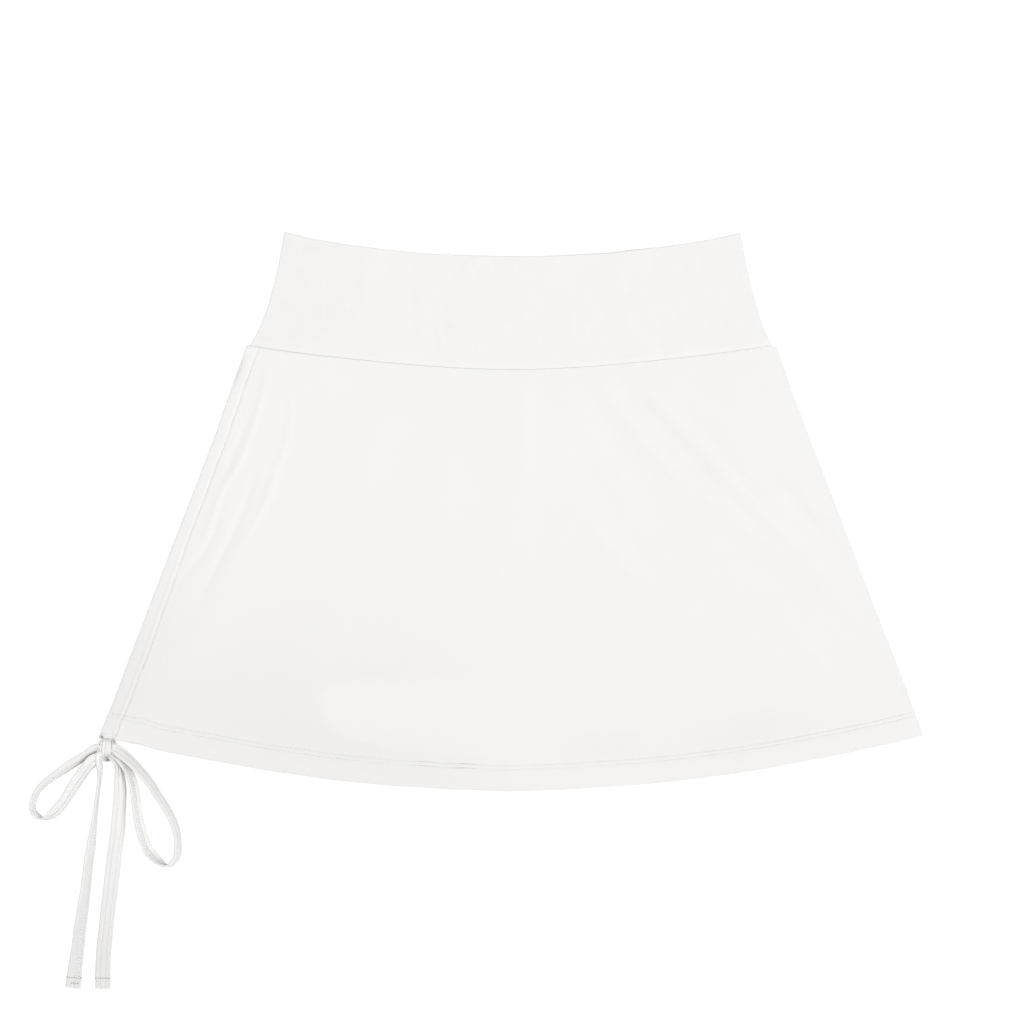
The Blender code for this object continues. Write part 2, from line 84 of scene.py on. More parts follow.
class Tree:
    """A node tree that is put together from wires."""

    def __init__(self, graph):
        self.graph = graph

    def feed(self, node, sockets):
        """Put those values or wires in a node's sockets."""
        for name, value in sockets.items():
            if isinstance(value, Wire):
                self.graph.links.new(value.socket, node.inputs[name])
            else:
                node.inputs[name].default_value = value

    def node(self, kind, sockets=None, out=0, **settings):
        """The output of a new node with those settings, and those values or wires in its sockets."""
        made = self.graph.nodes.new(kind)
        for name, value in settings.items():
            setattr(made, name, value)
        self.feed(made, sockets or {})
        return Wire(self, made.outputs[out]) if made.outputs else None

    def apart(self, where):
        """The x, y and z of a vector."""
        first = self.node("ShaderNodeSeparateXYZ", {0: where})
        return [Wire(self, socket) for socket in first.socket.node.outputs]


class Paint(Tree):
    """A material that is put together from wires."""

    def __init__(self, name):
        self.name = name
        self.material = bpy.data.materials.new(name)
        self.material.use_nodes = True
        super().__init__(self.material.node_tree)
        self.shader = self.graph.nodes["Principled BSDF"]

    def place(self):
        return self.node("ShaderNodeTexCoord", out="Object")

    def tone(self):
        """The mesh's "tone": how much less light its cloth gives back at a place, mostly painted shade and
        painted light in folds, creases, hollows and seams, and some wear and uneven tone.
        """
        return self.node("ShaderNodeAttribute", out="Fac", attribute_name="tone")

    def noise(self, where, size, detail=2.0, roughness=0.5):
        """Soft cloudy variation from 0 to 1, with spots of that size."""
        sockets = {"Vector": where, "Scale": 1 / size, "Detail": detail, "Roughness": roughness}
        return self.node("ShaderNodeTexNoise", sockets)

    def finish(self, colour, shade, roughness, height, depth, strength, sheen=(0.12, 0.45)):
        """Link the colour times a grey that varies, the roughness and the relief, and set the sheen."""
        grey = self.node("ShaderNodeCombineColor", {"Red": shade, "Green": shade, "Blue": shade})
        factors = {0: 1.0, 6: (*colour, 1), 7: grey}
        tinted = self.node("ShaderNodeMix", factors, 2, data_type="RGBA", blend_type="MULTIPLY")
        bump = self.node("ShaderNodeBump", {"Strength": strength, "Distance": depth, "Height": height})
        self.feed(self.shader, {
            "Base Color": tinted, "Roughness": roughness, "Normal": bump,
            "Sheen Weight": sheen[0], "Sheen Roughness": sheen[1], "Specular IOR Level": 0.25,
        })
        return self


# ---- camera, light and floor

CAMERA_PLACE = (-0.00035, 0, 3.0)
VIEW_WIDTH = 0.7178  # how much of the floor the picture takes in
SENSOR = 36.0
LIGHT_TOWARDS = Vector((0.38, -0.17, 0.91))  # where the key light stands, seen from the garment
KEY_STRENGTH = 1.37
KEY_SOFTNESS = 40.0
SKY_LOW = 0.40  # how bright the studio is at the height of the floor, and what its ceiling adds
SKY_HIGH = 0.62
FLOOR_HALF = 6.0
FLOOR_Z = -0.0002


def placed(name, data):
    """A new object in the scene."""
    made = bpy.data.objects.new(name, data)
    bpy.context.scene.collection.objects.link(made)
    return made


def floor_paint():
    """Looks pure white, and gives the garment no more light than white paper does."""
    paint = Paint("white_floor")
    paint.graph.nodes.remove(paint.shader)
    paper = paint.node("ShaderNodeBsdfDiffuse", {"Color": (0.85, 0.85, 0.85, 1)})
    glow = paint.node("ShaderNodeEmission", {"Strength": 1.05})
    seen = paint.node("ShaderNodeLightPath", out="Is Camera Ray")
    either = paint.node("ShaderNodeMixShader", {"Fac": seen, 1: paper, 2: glow})
    paint.feed(paint.graph.nodes["Material Output"], {"Surface": either})
    return paint


def studio():
    scene = bpy.context.scene
    scene.view_settings.view_transform = "Standard"

    camera = bpy.data.cameras.new("camera")
    camera.sensor_width = SENSOR
    camera.lens = SENSOR * CAMERA_PLACE[2] / VIEW_WIDTH
    scene.camera = placed("camera", camera)
    scene.camera.location = CAMERA_PLACE

    key = bpy.data.lights.new("key_light", "SUN")
    key.energy = KEY_STRENGTH
    key.angle = math.radians(KEY_SOFTNESS)
    placed("key_light", key).rotation_euler = LIGHT_TOWARDS.to_track_quat("Z", "Y").to_euler()

    scene.world = bpy.data.worlds.new("studio")
    scene.world.use_nodes = True
    sky = Tree(scene.world.node_tree)
    up = sky.apart(sky.node("ShaderNodeTexCoord", out="Generated"))[2]
    glow = up.maths("MAXIMUM", 0.0).maths("POWER", 3.0).maths("MULTIPLY_ADD", SKY_HIGH, SKY_LOW)
    sky.feed(sky.graph.nodes["Background"], {"Color": (1, 1, 1, 1), "Strength": glow})

    floor = bpy.data.meshes.new("floor")
    corners = [(x * FLOOR_HALF, y * FLOOR_HALF, FLOOR_Z) for x, y in ((-1, -1), (1, -1), (1, 1), (-1, 1))]
    floor.from_pydata(corners, [], [(0, 1, 2, 3)])
    floor.materials.append(floor_paint().material)
    placed("floor", floor)


# ---- materials

WHITE_KNIT = (0.884, 0.877, 0.864)


def knit_relief(across, along, wale, course):
    """The fine V stitches of jersey, from 0 to 1: wales run along, and courses lie across."""
    column = across * (1 / wale)
    wave = (column * math.pi).maths("SINE").maths("ABSOLUTE")
    lean = (column.maths("FRACT") - 0.5).maths("ABSOLUTE")
    loops = ((along * (1 / course) + lean) * (2 * math.pi)).maths("SINE")
    return wave * 0.7 + loops * 0.15 + 0.15


def skirt_knit(name, colour=WHITE_KNIT, mottle=0.010):
    """Brushed interlock jersey."""
    paint = Paint(name)
    where = paint.place()
    across, along, _ = paint.apart(where)
    clouds = paint.noise(where, 55 * MM)
    nap = paint.noise(where, 4 * MM, 3.0, 0.6)
    shade = paint.tone() * (1 - mottle + clouds * mottle) * (1.006 - nap * 0.012)
    height = knit_relief(across, along, 0.55 * MM, 0.5 * MM) + nap * 0.8
    return paint.finish(colour, shade, 0.86 - nap * 0.1, height, 0.05 * MM, 0.35)


def tape_knit():
    """The drawstring's tighter knit. Its UV map runs along the tape and across it, in metres."""
    paint = Paint("tape_knit")
    along, across, _ = paint.apart(paint.node("ShaderNodeTexCoord", out="UV"))
    clouds = paint.noise(paint.place(), 18 * MM)
    nap = paint.noise(paint.place(), 1.6 * MM, 3.0, 0.6)
    shade = paint.tone() * (0.985 + clouds * 0.02) * (1.01 - nap * 0.03)
    height = knit_relief(across, along, 0.5 * MM, 0.45 * MM) + nap * 0.9
    return paint.finish((0.861, 0.855, 0.843), shade, 0.84 - nap * 0.12, height, 0.02 * MM, 0.3)


def thread_finish(name, colour):
    """Spun polyester thread with a slight lustre."""
    paint = Paint(name)
    strands = paint.noise(paint.place(), 0.5 * MM)
    shade = 0.95 + strands * 0.08
    return paint.finish(colour, shade, 0.62 - strands * 0.12, strands, 0.05 * MM, 0.6, (0.05, 0.4))


# ---- lines and surfaces

def between(low, high, share):
    return low + (high - low) * share


def smooth(share):
    """From 0 to 1 with flat ends."""
    share = np.clip(share, 0, 1)
    return share * share * (3 - 2 * share)


def rise(value, start, length):
    """From 0 before the start to 1 past the length."""
    return smooth((value - start) / length)


def quarter(share):
    """The height of a quarter circle, at a share of its run from the rim."""
    share = np.clip(share, 0, 1)
    return np.sqrt(1 - (1 - share) ** 2)


def bell(distance, half_width, power=2.0):
    """1 at no distance, and fading to nothing past the half width."""
    return np.exp(-np.abs(distance / half_width) ** power)


def points(*columns):
    return np.stack(np.broadcast_arrays(*columns), axis=-1)


def flat_points(across, along):
    return points(across, along).reshape(-1, 2)


def unit(vectors):
    return vectors / np.linalg.norm(vectors, axis=-1, keepdims=True)


def way_along(line):
    """How far each point of a line is along it."""
    return np.append(0, np.cumsum(np.linalg.norm(np.diff(line, axis=0), axis=1)))


def steps(*stops):
    """Values from stop to stop: (first, (next, count), ...), each stretch in that many even steps."""
    values = [stops[0]]
    for stop, count in stops[1:]:
        values += list(np.linspace(values[-1], stop, count + 1)[1:])
    return np.array(values)


def smooth_line(stations, count=6):
    """Points on a smooth curve through the stations, which may have any number of columns."""
    stations = np.array(stations, float)
    padded = np.vstack([stations[:1], stations, stations[-1:]])
    t = (np.arange(count) / count)[:, None]
    pieces = []
    for before, a, b, after in zip(padded, padded[1:], padded[2:], padded[3:]):
        square = 2 * before - 5 * a + 4 * b - after
        cube = 3 * a - before - 3 * b + after
        pieces.append(0.5 * (2 * a + (b - before) * t + square * t * t + cube * t ** 3))
    return np.vstack([*pieces, stations[-1:]])


def follow(stations, at):
    """The second column of a smooth curve at those values of its first column."""
    line = smooth_line(stations)
    return np.interp(at, line[:, 0], line[:, 1])


def strayed(low, high, at, share):
    """How far a place between two edges strays, when each of them strays in its own way."""
    return between(follow(low, at), follow(high, at), share)


DRAWN = 256  # how many waves there are each way before they come again


def ripple(x, y, size, seed):
    """Smooth uneven waves from about -1 to 1, about that size."""
    draws = np.random.default_rng(seed).uniform(-1, 1, (DRAWN, DRAWN))
    column, row = x / size + DRAWN / 4, np.float64(y) / size + DRAWN / 4
    c, r = np.floor(column).astype(int), np.floor(row).astype(int)
    across, up = smooth(column - c), smooth(row - r)
    c, r = c % (DRAWN - 1), r % (DRAWN - 1)
    low = between(draws[r, c], draws[r, c + 1], across)
    high = between(draws[r + 1, c], draws[r + 1, c + 1], across)
    return between(low, high, up)


def crease_heights(x, y, creases):
    """What creases add at those places. Each is its half width and then its stations, (x, y, height), or
    (x, y) where it adds nothing."""
    x, y = np.broadcast_arrays(x, y)
    total = np.zeros(x.shape)
    for half_width, *stations in creases:
        line = smooth_line([(*station, 0)[:3] for station in stations], 5)
        low, high = line.min(axis=0) - 3 * half_width, line.max(axis=0) + 3 * half_width
        near = (x > low[0]) & (x < high[0]) & (y > low[1]) & (y < high[1])
        start, step = line[:-1, :2], np.diff(line[:, :2], axis=0)
        out = np.stack([x[near], y[near]], axis=1)[:, None] - start
        share = np.clip((out * step).sum(axis=2) / (step ** 2).sum(axis=1), 0, 1)
        off = out - share[..., None] * step
        away = np.hypot(off[..., 0], off[..., 1])
        nearest = away.argmin(axis=1)
        pick = np.arange(len(nearest)), nearest
        height = between(line[nearest, 2], line[nearest + 1, 2], share[pick])
        total[near] += height * bell(away[pick], half_width)
    return total


# ---- the garment's layout

SKIRT_TOP_WIDTH = 372
SEAM_DIP = 16.8  # how far the middle of an edge lies below its ends
HEM_DIP = 39.6
WAIST_DIP = 16.1
WAIST_WIDTH = 318
BAND_FLARE_EVEN = 11.7
BAND_FLARE_CURVED = 11.8
CHANNEL_TOP_WIDTH = 9.1
CHANNEL_HEM_WIDTH = 12.0
GAP = 0.3
PLY = 1.0
DOUBLE_PLY = 2.0
FAR = 9000.0


def box(node):
    """The lowest and the highest corner of a solid."""
    low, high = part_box(node)
    return np.array(low) / MM, np.array(high) / MM


skirt_low, skirt_high = box("skirt_front")
shorts_low, shorts_high = box("shorts_right_front")
casing_low, casing_high = box("channel_casing")
HEM_WIDTH = skirt_high[0] - skirt_low[0]
HEM_Y = skirt_low[1]
SEAM_Y = skirt_high[1] - SEAM_DIP
WAIST_Y = box("waistband_front")[1][1] - WAIST_DIP
SKIRT_LENGTH = SEAM_Y - HEM_Y
BAND_HEIGHT = WAIST_Y - SEAM_Y
SHORTS_HALF_WIDTH = shorts_high[0]
LEG_HEM_Y = shorts_low[1]
LEG_HEM_RISE = 4.0
LEG_GAP = 6.0
CROTCH_Y = -66.0
KNOT = sum(box("drawstring_knot")) / 2

BACK_TOP = PLY
OPEN_FLOOR = BACK_TOP + GAP
SHORTS_FRONT_TOP = shorts_high[2]
SHORTS_BACK_TOP = SHORTS_FRONT_TOP - PLY - GAP
OVER_SHORTS = SHORTS_FRONT_TOP + GAP + PLY
BAND_FLOOR = DOUBLE_PLY + GAP
BAND_TOP = HEM_TOP = BAND_FLOOR + DOUBLE_PLY
SIDE_TOP = 3.4
CHANNEL_LINE_TOP = 5.2  # both sides of the channel's stitching
CHANNEL_RISE = 0.3
CHANNEL_ROUND = 0.5
RIM = 0.6
EDGE_ROUND = 0.5

# Where the channel's mouth sinks between the gathers of the tape: creases, by (distance from the left edge,
# distance from the hem's edge, depth).
MOUTH_DENTS = (
    (0.8, (1, -0.5, 3.4), (1.5, 1, 3.2), (1.7, 2.2)),
    (0.5, (4.4, -0.3, 2), (6.2, -0.2, 3), (8.4, 0.1, 2)),
    (0.5, (9.6, -0.5, 3), (9.9, 1.2, 2.4), (10.2, 2.2)),
)

# How far the hand-laid edges stray from even ones: (share of the height, straying), or (x, straying).
SKIRT_LEFT_STRAY = ((0, -2.4), (0.05, -2), (0.09, -1.2), (0.3, -0.4), (0.5, 0.15), (0.66, 1), (0.77, 1.3),
    (0.85, 0.6), (1, 0.05))
SKIRT_RIGHT_STRAY = ((0, 0), (0.14, 0.4), (0.28, -0.4), (0.44, -1.1), (0.53, -1.3), (0.62, -1.4),
    (0.76, -2), (0.9, -2), (1, -1))
BAND_LEFT_STRAY = ((0, -1.4), (0.06, -0.9), (0.12, -0.4), (0.3, 0.1), (0.37, 0.3), (0.45, -0.35),
    (0.6, -0.5), (0.8, -0.8), (1, -0.8))
BAND_RIGHT_STRAY = ((0, -0.7), (0.2, -0.9), (0.3, -0.6), (0.4, -0.25), (0.58, 0.35), (0.75, 0.6),
    (0.88, 1.1), (1, 0.8))
WAIST_STRAY = ((-160, 1), (-145, 0.1), (-128, -0.2), (-100, -0.25), (-60, -0.4), (-30, 0.1), (-5, 0),
    (18, -0.2), (46, 0), (68, -0.4), (85, 0.1), (102, -0.3), (135, -0.5), (160, 0.2))
HEM_STRAY = ((-288, -2.6), (-281, -1.9), (-272, -0.7), (-265, -0.4), (-258, 0.2), (-248, -0.4),
    (-242, -0.6), (-226, 0), (-198, 0.6), (-170, 0.4), (-150, 0.7), (-128, 0.3), (-107, 0.5), (-80, 0.3),
    (-60, 0.6), (-44, 0.1), (-30, 0.4), (-5, -0.3), (12, 0.1), (47, 0.5), (68, 0.8), (96, 0.6), (124, 0.7),
    (152, 0.5), (187, 0.6), (215, 0.6), (243, 0), (288, -0.8))
SEAM_STRAY = ((-186, 0.4), (-140, 0.9), (-100, 1.2), (-55, 0.6), (-20, 0), (20, -0.1), (60, 0.6),
    (100, 1.2), (140, 1), (176, 0.6), (186, -0.4))

# How far inside the left edge the channel's stitching runs: (share of the height, distance).
CHANNEL_LINE = ((0, 11), (0.24, 10.6), (0.48, 8.9), (0.75, 8.3), (1, 8.3))


def skirt_half(from_hem):
    return between(HEM_WIDTH, SKIRT_TOP_WIDTH, from_hem / SKIRT_LENGTH) / 2


def skirt_place(from_left, from_hem):
    """(x, y) of the skirt's points at those distances from its left edge and from the edge of its hem."""
    share, half = from_hem / SKIRT_LENGTH, skirt_half(from_hem)
    x = from_left - half
    y = between(HEM_Y, SEAM_Y, share) + between(HEM_DIP, SEAM_DIP, share) * (x / half) ** 2
    y = y + strayed(HEM_STRAY, SEAM_STRAY, x, share)
    return x + strayed(SKIRT_LEFT_STRAY, SKIRT_RIGHT_STRAY, share, from_left / (2 * half)), y


def channel_line(from_hem):
    """How far inside the left edge the channel's stitching runs: slightly wavy."""
    return follow(CHANNEL_LINE, from_hem / SKIRT_LENGTH) + 0.3 * ripple(from_hem, 0, 16, 11)


def band_half(share):
    """Half the waistband's width at a share of its height."""
    return WAIST_WIDTH / 2 + BAND_FLARE_EVEN * (1 - share) + BAND_FLARE_CURVED * (1 - share) ** 2


def band_place(side, from_seam):
    """(x, y) of the waistband's points. side goes from -1 at its left edge to 1 at its right edge."""
    share = from_seam / BAND_HEIGHT
    half = band_half(share)
    low_dip = SEAM_DIP * (half / (SKIRT_TOP_WIDTH / 2)) ** 2
    x = side * half
    y = between(SEAM_Y + GAP, WAIST_Y, share) + between(low_dip, WAIST_DIP, share) * side ** 2
    y = y + strayed(SEAM_STRAY, WAIST_STRAY, x, share)
    return x + strayed(BAND_LEFT_STRAY, BAND_RIGHT_STRAY, share, (side + 1) / 2), y


# ---- meshes

def dressed(name, mesh, finish, *nodes):
    """The finished piece that stands for those solids. Its slot has its paint's name."""
    mesh.materials.append(finish.material)
    made = placed(name, mesh)
    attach(made, "root")
    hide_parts(*nodes)
    return made


def body(name, vertices, faces, tone, layer, uv, sharp):
    """A mesh with its tone and its UV map, smooth up to that angle."""
    mesh = bpy.data.meshes.new(name)
    mesh.from_pydata(vertices * MM, [], faces)
    mesh.shade_smooth()
    mesh.set_sharp_from_angle(angle=math.radians(sharp))
    tones = mesh.attributes.new("tone", "FLOAT", "POINT").data
    tones.foreach_set("value", np.array(tone, np.float32).ravel())
    corners = np.empty(len(mesh.loops), dtype=np.int32)
    mesh.loops.foreach_get("vertex_index", corners)
    mesh.uv_layers.new(name=layer).data.foreach_set("uv", (uv * MM)[corners].astype(np.float32).ravel())
    return mesh


def shell(name, node, upper, lower, finish, tone=None, from_hem=None):
    """A closed ply between two grids of points, (rows, columns, 3), with the same rows and columns."""
    rows, columns = upper.shape[:2]
    at = np.arange(rows * columns).reshape(rows, columns)
    quads = np.stack([at[:-1, :-1], at[:-1, 1:], at[1:, 1:], at[1:, :-1]], axis=-1).reshape(-1, 4)
    rim = np.concatenate([at[0, :-1], at[:-1, -1], at[-1, :0:-1], at[:0:-1, 0]])
    ahead = np.roll(rim, -1)
    sides = np.stack([rim, rim + at.size, ahead + at.size, ahead], axis=-1)
    faces = np.concatenate([quads, (quads + at.size)[:, ::-1], sides])
    vertices = np.concatenate([upper.reshape(-1, 3), lower.reshape(-1, 3)])
    tone = np.ones(len(vertices)) if tone is None else [tone, tone]
    uv = vertices[:, :2]
    if from_hem is not None:
        uv = np.tile(flat_points(upper[..., 0], from_hem), (2, 1))
    return dressed(name, body(name, vertices, faces.tolist(), tone, "cloth", uv, 55), finish, node)


# ---- the skirt

# Ridges and troughs of the front panel.
LEFT_PULLS = (
    (2.1, (-170, 106), (-171.4, 99, 0.25), (-174.7, 84, 0.55), (-178.9, 69, 0.6), (-184.7, 52, 0.7),
        (-191.5, 34, 0.7), (-199.9, 21, 0.7), (-206.4, 8, 0.6), (-210.6, -6, 0.5), (-214, -16, 0.3),
        (-219, -27)),
    (1.5, (-184, 70), (-188.9, 57, -0.3), (-194.7, 44, -0.4), (-198, 34, -0.4), (-202.6, 23, -0.2),
        (-208, 14)),
    (1.9, (-200, 18), (-203, 8, -0.4), (-206.6, -6, -0.5), (-209.7, -16, -0.5), (-217, -29, -0.5),
        (-225, -39, -0.45), (-231, -48, -0.25), (-238, -60)),
    (2.4, (-178, 36), (-182.5, 21, -0.5), (-187.5, 4, -0.65), (-192.5, -6, -0.7), (-196.4, -17.5, -0.7),
        (-203, -29, -0.65), (-207.3, -38, -0.55), (-212.2, -49, -0.4), (-221, -66)),
    (2.8, (-157, 94), (-156.6, 80, 0.25), (-155.8, 61, 0.32), (-160, 44, 0.38), (-165, 31, 0.5),
        (-170, 15, 0.65), (-175, 3, 0.6), (-184, -13, 0.4), (-196, -34, 0.25), (-206, -52)),
    (9, (-196, -40), (-206, -64, 0.35), (-222, -90, 0.4), (-240, -116)),
)
RIGHT_PULLS = (
    (5.6, (52, 104), (62, 92, 0.5), (82, 62, 0.9), (115, 26, 1), (150, 0, 0.9), (177, -20, 0.9),
        (214, -49, 0.7), (240, -74)),
    (5, (72, 104), (84, 92, 0.5), (109, 66, 0.8), (128, 46, 0.8), (148, 24, 0.9), (171, 2, 0.9),
        (196, -22, 0.8), (224, -50, 0.4), (244, -70)),
    (3.2, (88, 92), (100, 78, 0.4), (124, 56, 0.5), (150, 28, 0.45), (166, 12)),
    (4.4, (168, 44), (182, 30, 0.6), (202, 12, 0.9), (216, -4, 0.9), (230, -16, 0.7), (243, -36)),
    (5.6, (36, 4), (54, -8, 0.8), (68, -26, 1.1), (94, -50, 1.1), (120, -67, 0.8), (134, -75, 0.4),
        (152, -86)),
    (7.5, (94, 100), (104, 91, 0.4), (146, 57, 0.7), (165, 34, 0.7), (187, 0, 0.5), (200, -22)),
    (9, (24, 96), (38, 78, 0.4), (60, 44, 0.6), (84, 2, 0.5), (100, -34)),
    (1.5, (180, -68), (189.9, -79.7, 0.5), (204, -93, 0.65), (217, -106, 0.55), (226, -114)),
    (1.5, (222, -80), (231, -88, 0.4), (253, -106, 0.6), (273, -123, 0.6), (281, -136)),
)
MIDDLE_PULLS = (
    (8, (6, 104), (7, 92, 0.4), (7, 60, 0.55), (6, 30, 0.4), (4, 10)),
    (12, (-86, 90), (-94, 60, 0.3), (-104, 24, 0.35), (-112, -14)),
    (13, (-40, 60), (-46, 20, 0.3), (-56, -30, 0.35), (-62, -70)),
)
PULLS = (*LEFT_PULLS, *RIGHT_PULLS, *MIDDLE_PULLS)
PANEL_LIFT = 0.3  # what the panel stands off the shorts, so that its troughs clear them

HEM_DEPTH = 18.5
HEM_FADE = 1.5
HEM_STITCHES = (15.2, 18.2)  # the two rows, from the hem's edge
NEEDLE_GROOVE = 0.45  # half the width of the groove along a row
LEG_HEM_STEP = 0.25  # how much lower the panel lies past the left leg's hem
SEAM_GROOVE = 0.2
CHANNEL_GROOVE = 0.75
BACK_GROOVE = 0.22


def drape(x, y, from_line, from_hem):
    """The height of the front panel away from its edges, with its creases."""
    fall_right = rise(np.abs(x) - SHORTS_HALF_WIDTH, -30, 120) * (x > 0)
    base = between(OVER_SHORTS + PANEL_LIFT, SIDE_TOP, fall_right)
    base -= LEG_HEM_STEP * rise(LEG_HEM_Y - y, 0, 14) * (1 - rise(np.abs(x + 67), 50, 30))
    base = between(base, np.maximum(base, CHANNEL_LINE_TOP), 1 - rise(from_line, 0, 60))
    base = between(HEM_TOP, base, rise(from_hem, HEM_DEPTH, 45))
    from_seam = SKIRT_LENGTH - from_hem
    creases = crease_heights(x, y, PULLS) * rise(from_seam, 0, 4)
    handled = 0.10 * ripple(x, y, 17, 1) + 0.03 * ripple(x, y, 8, 2)
    return base - PANEL_LIFT * bell(from_seam, 12) + creases + handled


def hem_grooves(from_hem):
    return sum(bell(from_hem - row, NEEDLE_GROOVE) for row in HEM_STITCHES)


def stitched_hem(x, from_hem):
    """The grooves of the two rows of stitches, the soft rise between them and the slight puckers."""
    swell = bell(from_hem - sum(HEM_STITCHES) / 2, 0.9)
    puckers = ripple(x + 0.3 * from_hem, from_hem * 0.4, 7, 3) * bell(from_hem - 14, 9)
    return 0.10 * swell - 0.30 * hem_grooves(from_hem) + 0.16 * puckers


def panel_parts(from_left, from_hem):
    """How far places are from the left edge, the hem's edge, the channel's stitching, the right edge and the
    seam, and whether the hem is turned up there."""
    from_left, from_hem = np.broadcast_arrays(from_left, from_hem)
    from_line = from_left - channel_line(from_hem)
    turned_up = rise(-from_hem, -HEM_DEPTH - HEM_FADE, 2 * HEM_FADE) * rise(from_line, 0, 1.5)
    from_right = 2 * skirt_half(from_hem) - from_left
    return from_left, from_hem, from_line, from_right, SKIRT_LENGTH - from_hem, turned_up


def front_surface(from_left, from_hem):
    """x, y and the heights of the upper and the lower face of the front panel."""
    from_left, from_hem, from_line, from_right, from_seam, hem = panel_parts(from_left, from_hem)
    x, y = skirt_place(from_left, from_hem)
    line = from_left - from_line
    floor = OPEN_FLOOR + hem * (DOUBLE_PLY - PLY)
    upper = between(drape(x, y, from_line, from_hem), HEM_TOP, smooth(hem)) + stitched_hem(x, from_hem)
    upper -= SEAM_GROOVE * bell(from_seam, 0.6, 1.5)
    rounded = np.minimum(quarter(from_right / EDGE_ROUND), between(1, quarter(from_hem / EDGE_ROUND), hem))
    upper = between(floor + RIM, upper, rounded)

    left_round = quarter(from_left / CHANNEL_ROUND)
    full = between(0.40, 0.05, smooth(from_hem / SKIRT_LENGTH * 2.4 - 0.7)) * bell(from_line + 1.9, 1.2)
    full += 0.12 * ripple(from_hem, 0, 13, 4)
    inside = CHANNEL_LINE_TOP + CHANNEL_RISE * (1 - (2 * np.clip(from_left / line, 0, 1) - 1) ** 2) + full
    inside -= crease_heights(from_left, from_hem, MOUTH_DENTS) * (1 - RIM / (CHANNEL_LINE_TOP - OPEN_FLOOR))
    upper = np.where(from_line < 0, between(OPEN_FLOOR, inside, left_round), upper)
    upper = upper - CHANNEL_GROOVE * bell(from_line, 0.55, 1.6)

    lower = np.maximum(floor, upper - between(PLY, DOUBLE_PLY, hem))
    tunnel = between(OPEN_FLOOR, CHANNEL_LINE_TOP - PLY, left_round)
    lower = np.where(from_left < CHANNEL_ROUND, np.minimum(tunnel, upper), lower)
    return x, y, upper, lower


def skirt_grid():
    """(from left, from hem) of the skirt panels' grids: dense at the hem, the stitching and the channel."""
    low, high = HEM_STITCHES
    from_hem = steps(0, (0.25, 3), (0.6, 2), (2.6, 6), (low - 1.2, 5), (high + 1.2, 12),
                     (SKIRT_LENGTH - 9, 104), (SKIRT_LENGTH - 2.5, 4), (SKIRT_LENGTH, 6))[:, None]
    line = channel_line(from_hem)
    across = steps(0, (0.05, 6), (0.2, 7), (0.85, 13), (1, 6), (1.14, 6), (1.5, 3))[None] * line
    right = 2 * skirt_half(from_hem) - steps(9, (0.6, 5), (0, 5))[None]
    middle = between(across[:, -1:], right[:, :1], np.linspace(0, 1, 246)[None, 1:-1])
    return np.hstack([across, middle, right]), from_hem


# Painted shade on the front panel: in its soft troughs, along its edges at the hem's left corner and at the
# channel's top, and in the gape of the mouth beside the knot; painted light where heights are negative.
# Creases whose heights are percents.
PAINTED_SHADE_PATCHES = (
    (24, (-246, -136), (-206, -146, 0.5), (-165, -150, 1.1), (-134, -152, 0.6), (-112, -158)),
    (13, (-228, -36), (-243, -64, 1.6), (-257, -92, 2.6), (-269, -118, 2.4), (-282, -146, 1.8),
        (-290, -160, 1.5)),
    (20, (104, -138), (130, -144, 1.1), (165, -146, 1.5), (190, -142, 1), (218, -132)),
    (12, (28, -166), (50, -163, 1.2), (74, -162, 1.2), (100, -160)),
    (26, (-236, -40), (-212, 20, 0.7), (-190, 80, 0.7), (-184, 108)),
    (30, (30, 96), (46, 62, -0.8), (52, 20, -0.7), (66, -24)),
    (14, (20, 60), (12, 20, -0.3), (10, -30)),
    (5.5, (50, 100), (60, 80, 0.5), (72, 60, 0.9), (107, 20, 1), (142, -4, 1), (168, -24, 0.9),
        (206, -53, 0.7), (240, -80)),
    (5, (72, 102), (84, 88, 0.5), (101, 69, 0.9), (121, 49, 1), (142, 25, 1), (165, 2, 0.9),
        (188, -21, 0.7), (215, -46, 0.4), (238, -64)),
    (5, (180, 34), (194, 20, 0.5), (209, 5, 0.8), (223, -13, 0.8), (235, -24, 0.5), (244, -40)),
    (13, (34, -16), (48, -36, 0.5), (74, -62, 0.8), (102, -82, 0.8), (124, -92, 0.4), (150, -100)),
    (8, (-178, 108), (-164, 98, 0.8), (-152, 92, 0.4), (-144, 88)),
    (1, (-271, -161), (-266, -162.2, 8), (-260, -163.2, 8), (-255, -164.6)),
    (1.6, (-186.8, 111), (-188, 107, 5), (-189.6, 103, 9), (-191, 99, 11), (-192.6, 95, 10),
        (-194.6, 90, 5), (-197, 84)),
    (1, (-289, -155.2), (-287.7, -156.8, 36), (-286.7, -158.4, 36), (-286, -160)),
)
# Painted shade in the waist seam's groove, and painted shade round the hem's rows of stitches: (x, percent).
SEAM_PAINTED_SHADE = ((-190, 16), (-150, 8), (-100, 1), (60, 0), (190, 1.5))
HEM_PAINTED_SHADE = ((-290, 0.6), (-230, 1), (-190, 0.9), (-150, 1.2), (-110, 1.9), (-60, 1.7), (-25, 1.2),
    (8, 0.3), (40, 1), (80, 1.7), (130, 2), (180, 2), (230, 1.2), (290, 0.5))
# Painted shade over the left leg, partly the show-through of its two plies.
LEG_SHADE = 3.6  # percent, where the left leg's two plies lie below
# Where that shade ends on the right, below the leg's hem: (y, x).
LEG_SHADE_END = ((-169, -85), (-163, -96), (-158, -118), (-150, -127), (-142, -132.5), (-135, -135),
    (-126, -134.5), (-121, -126), (-115, -114))


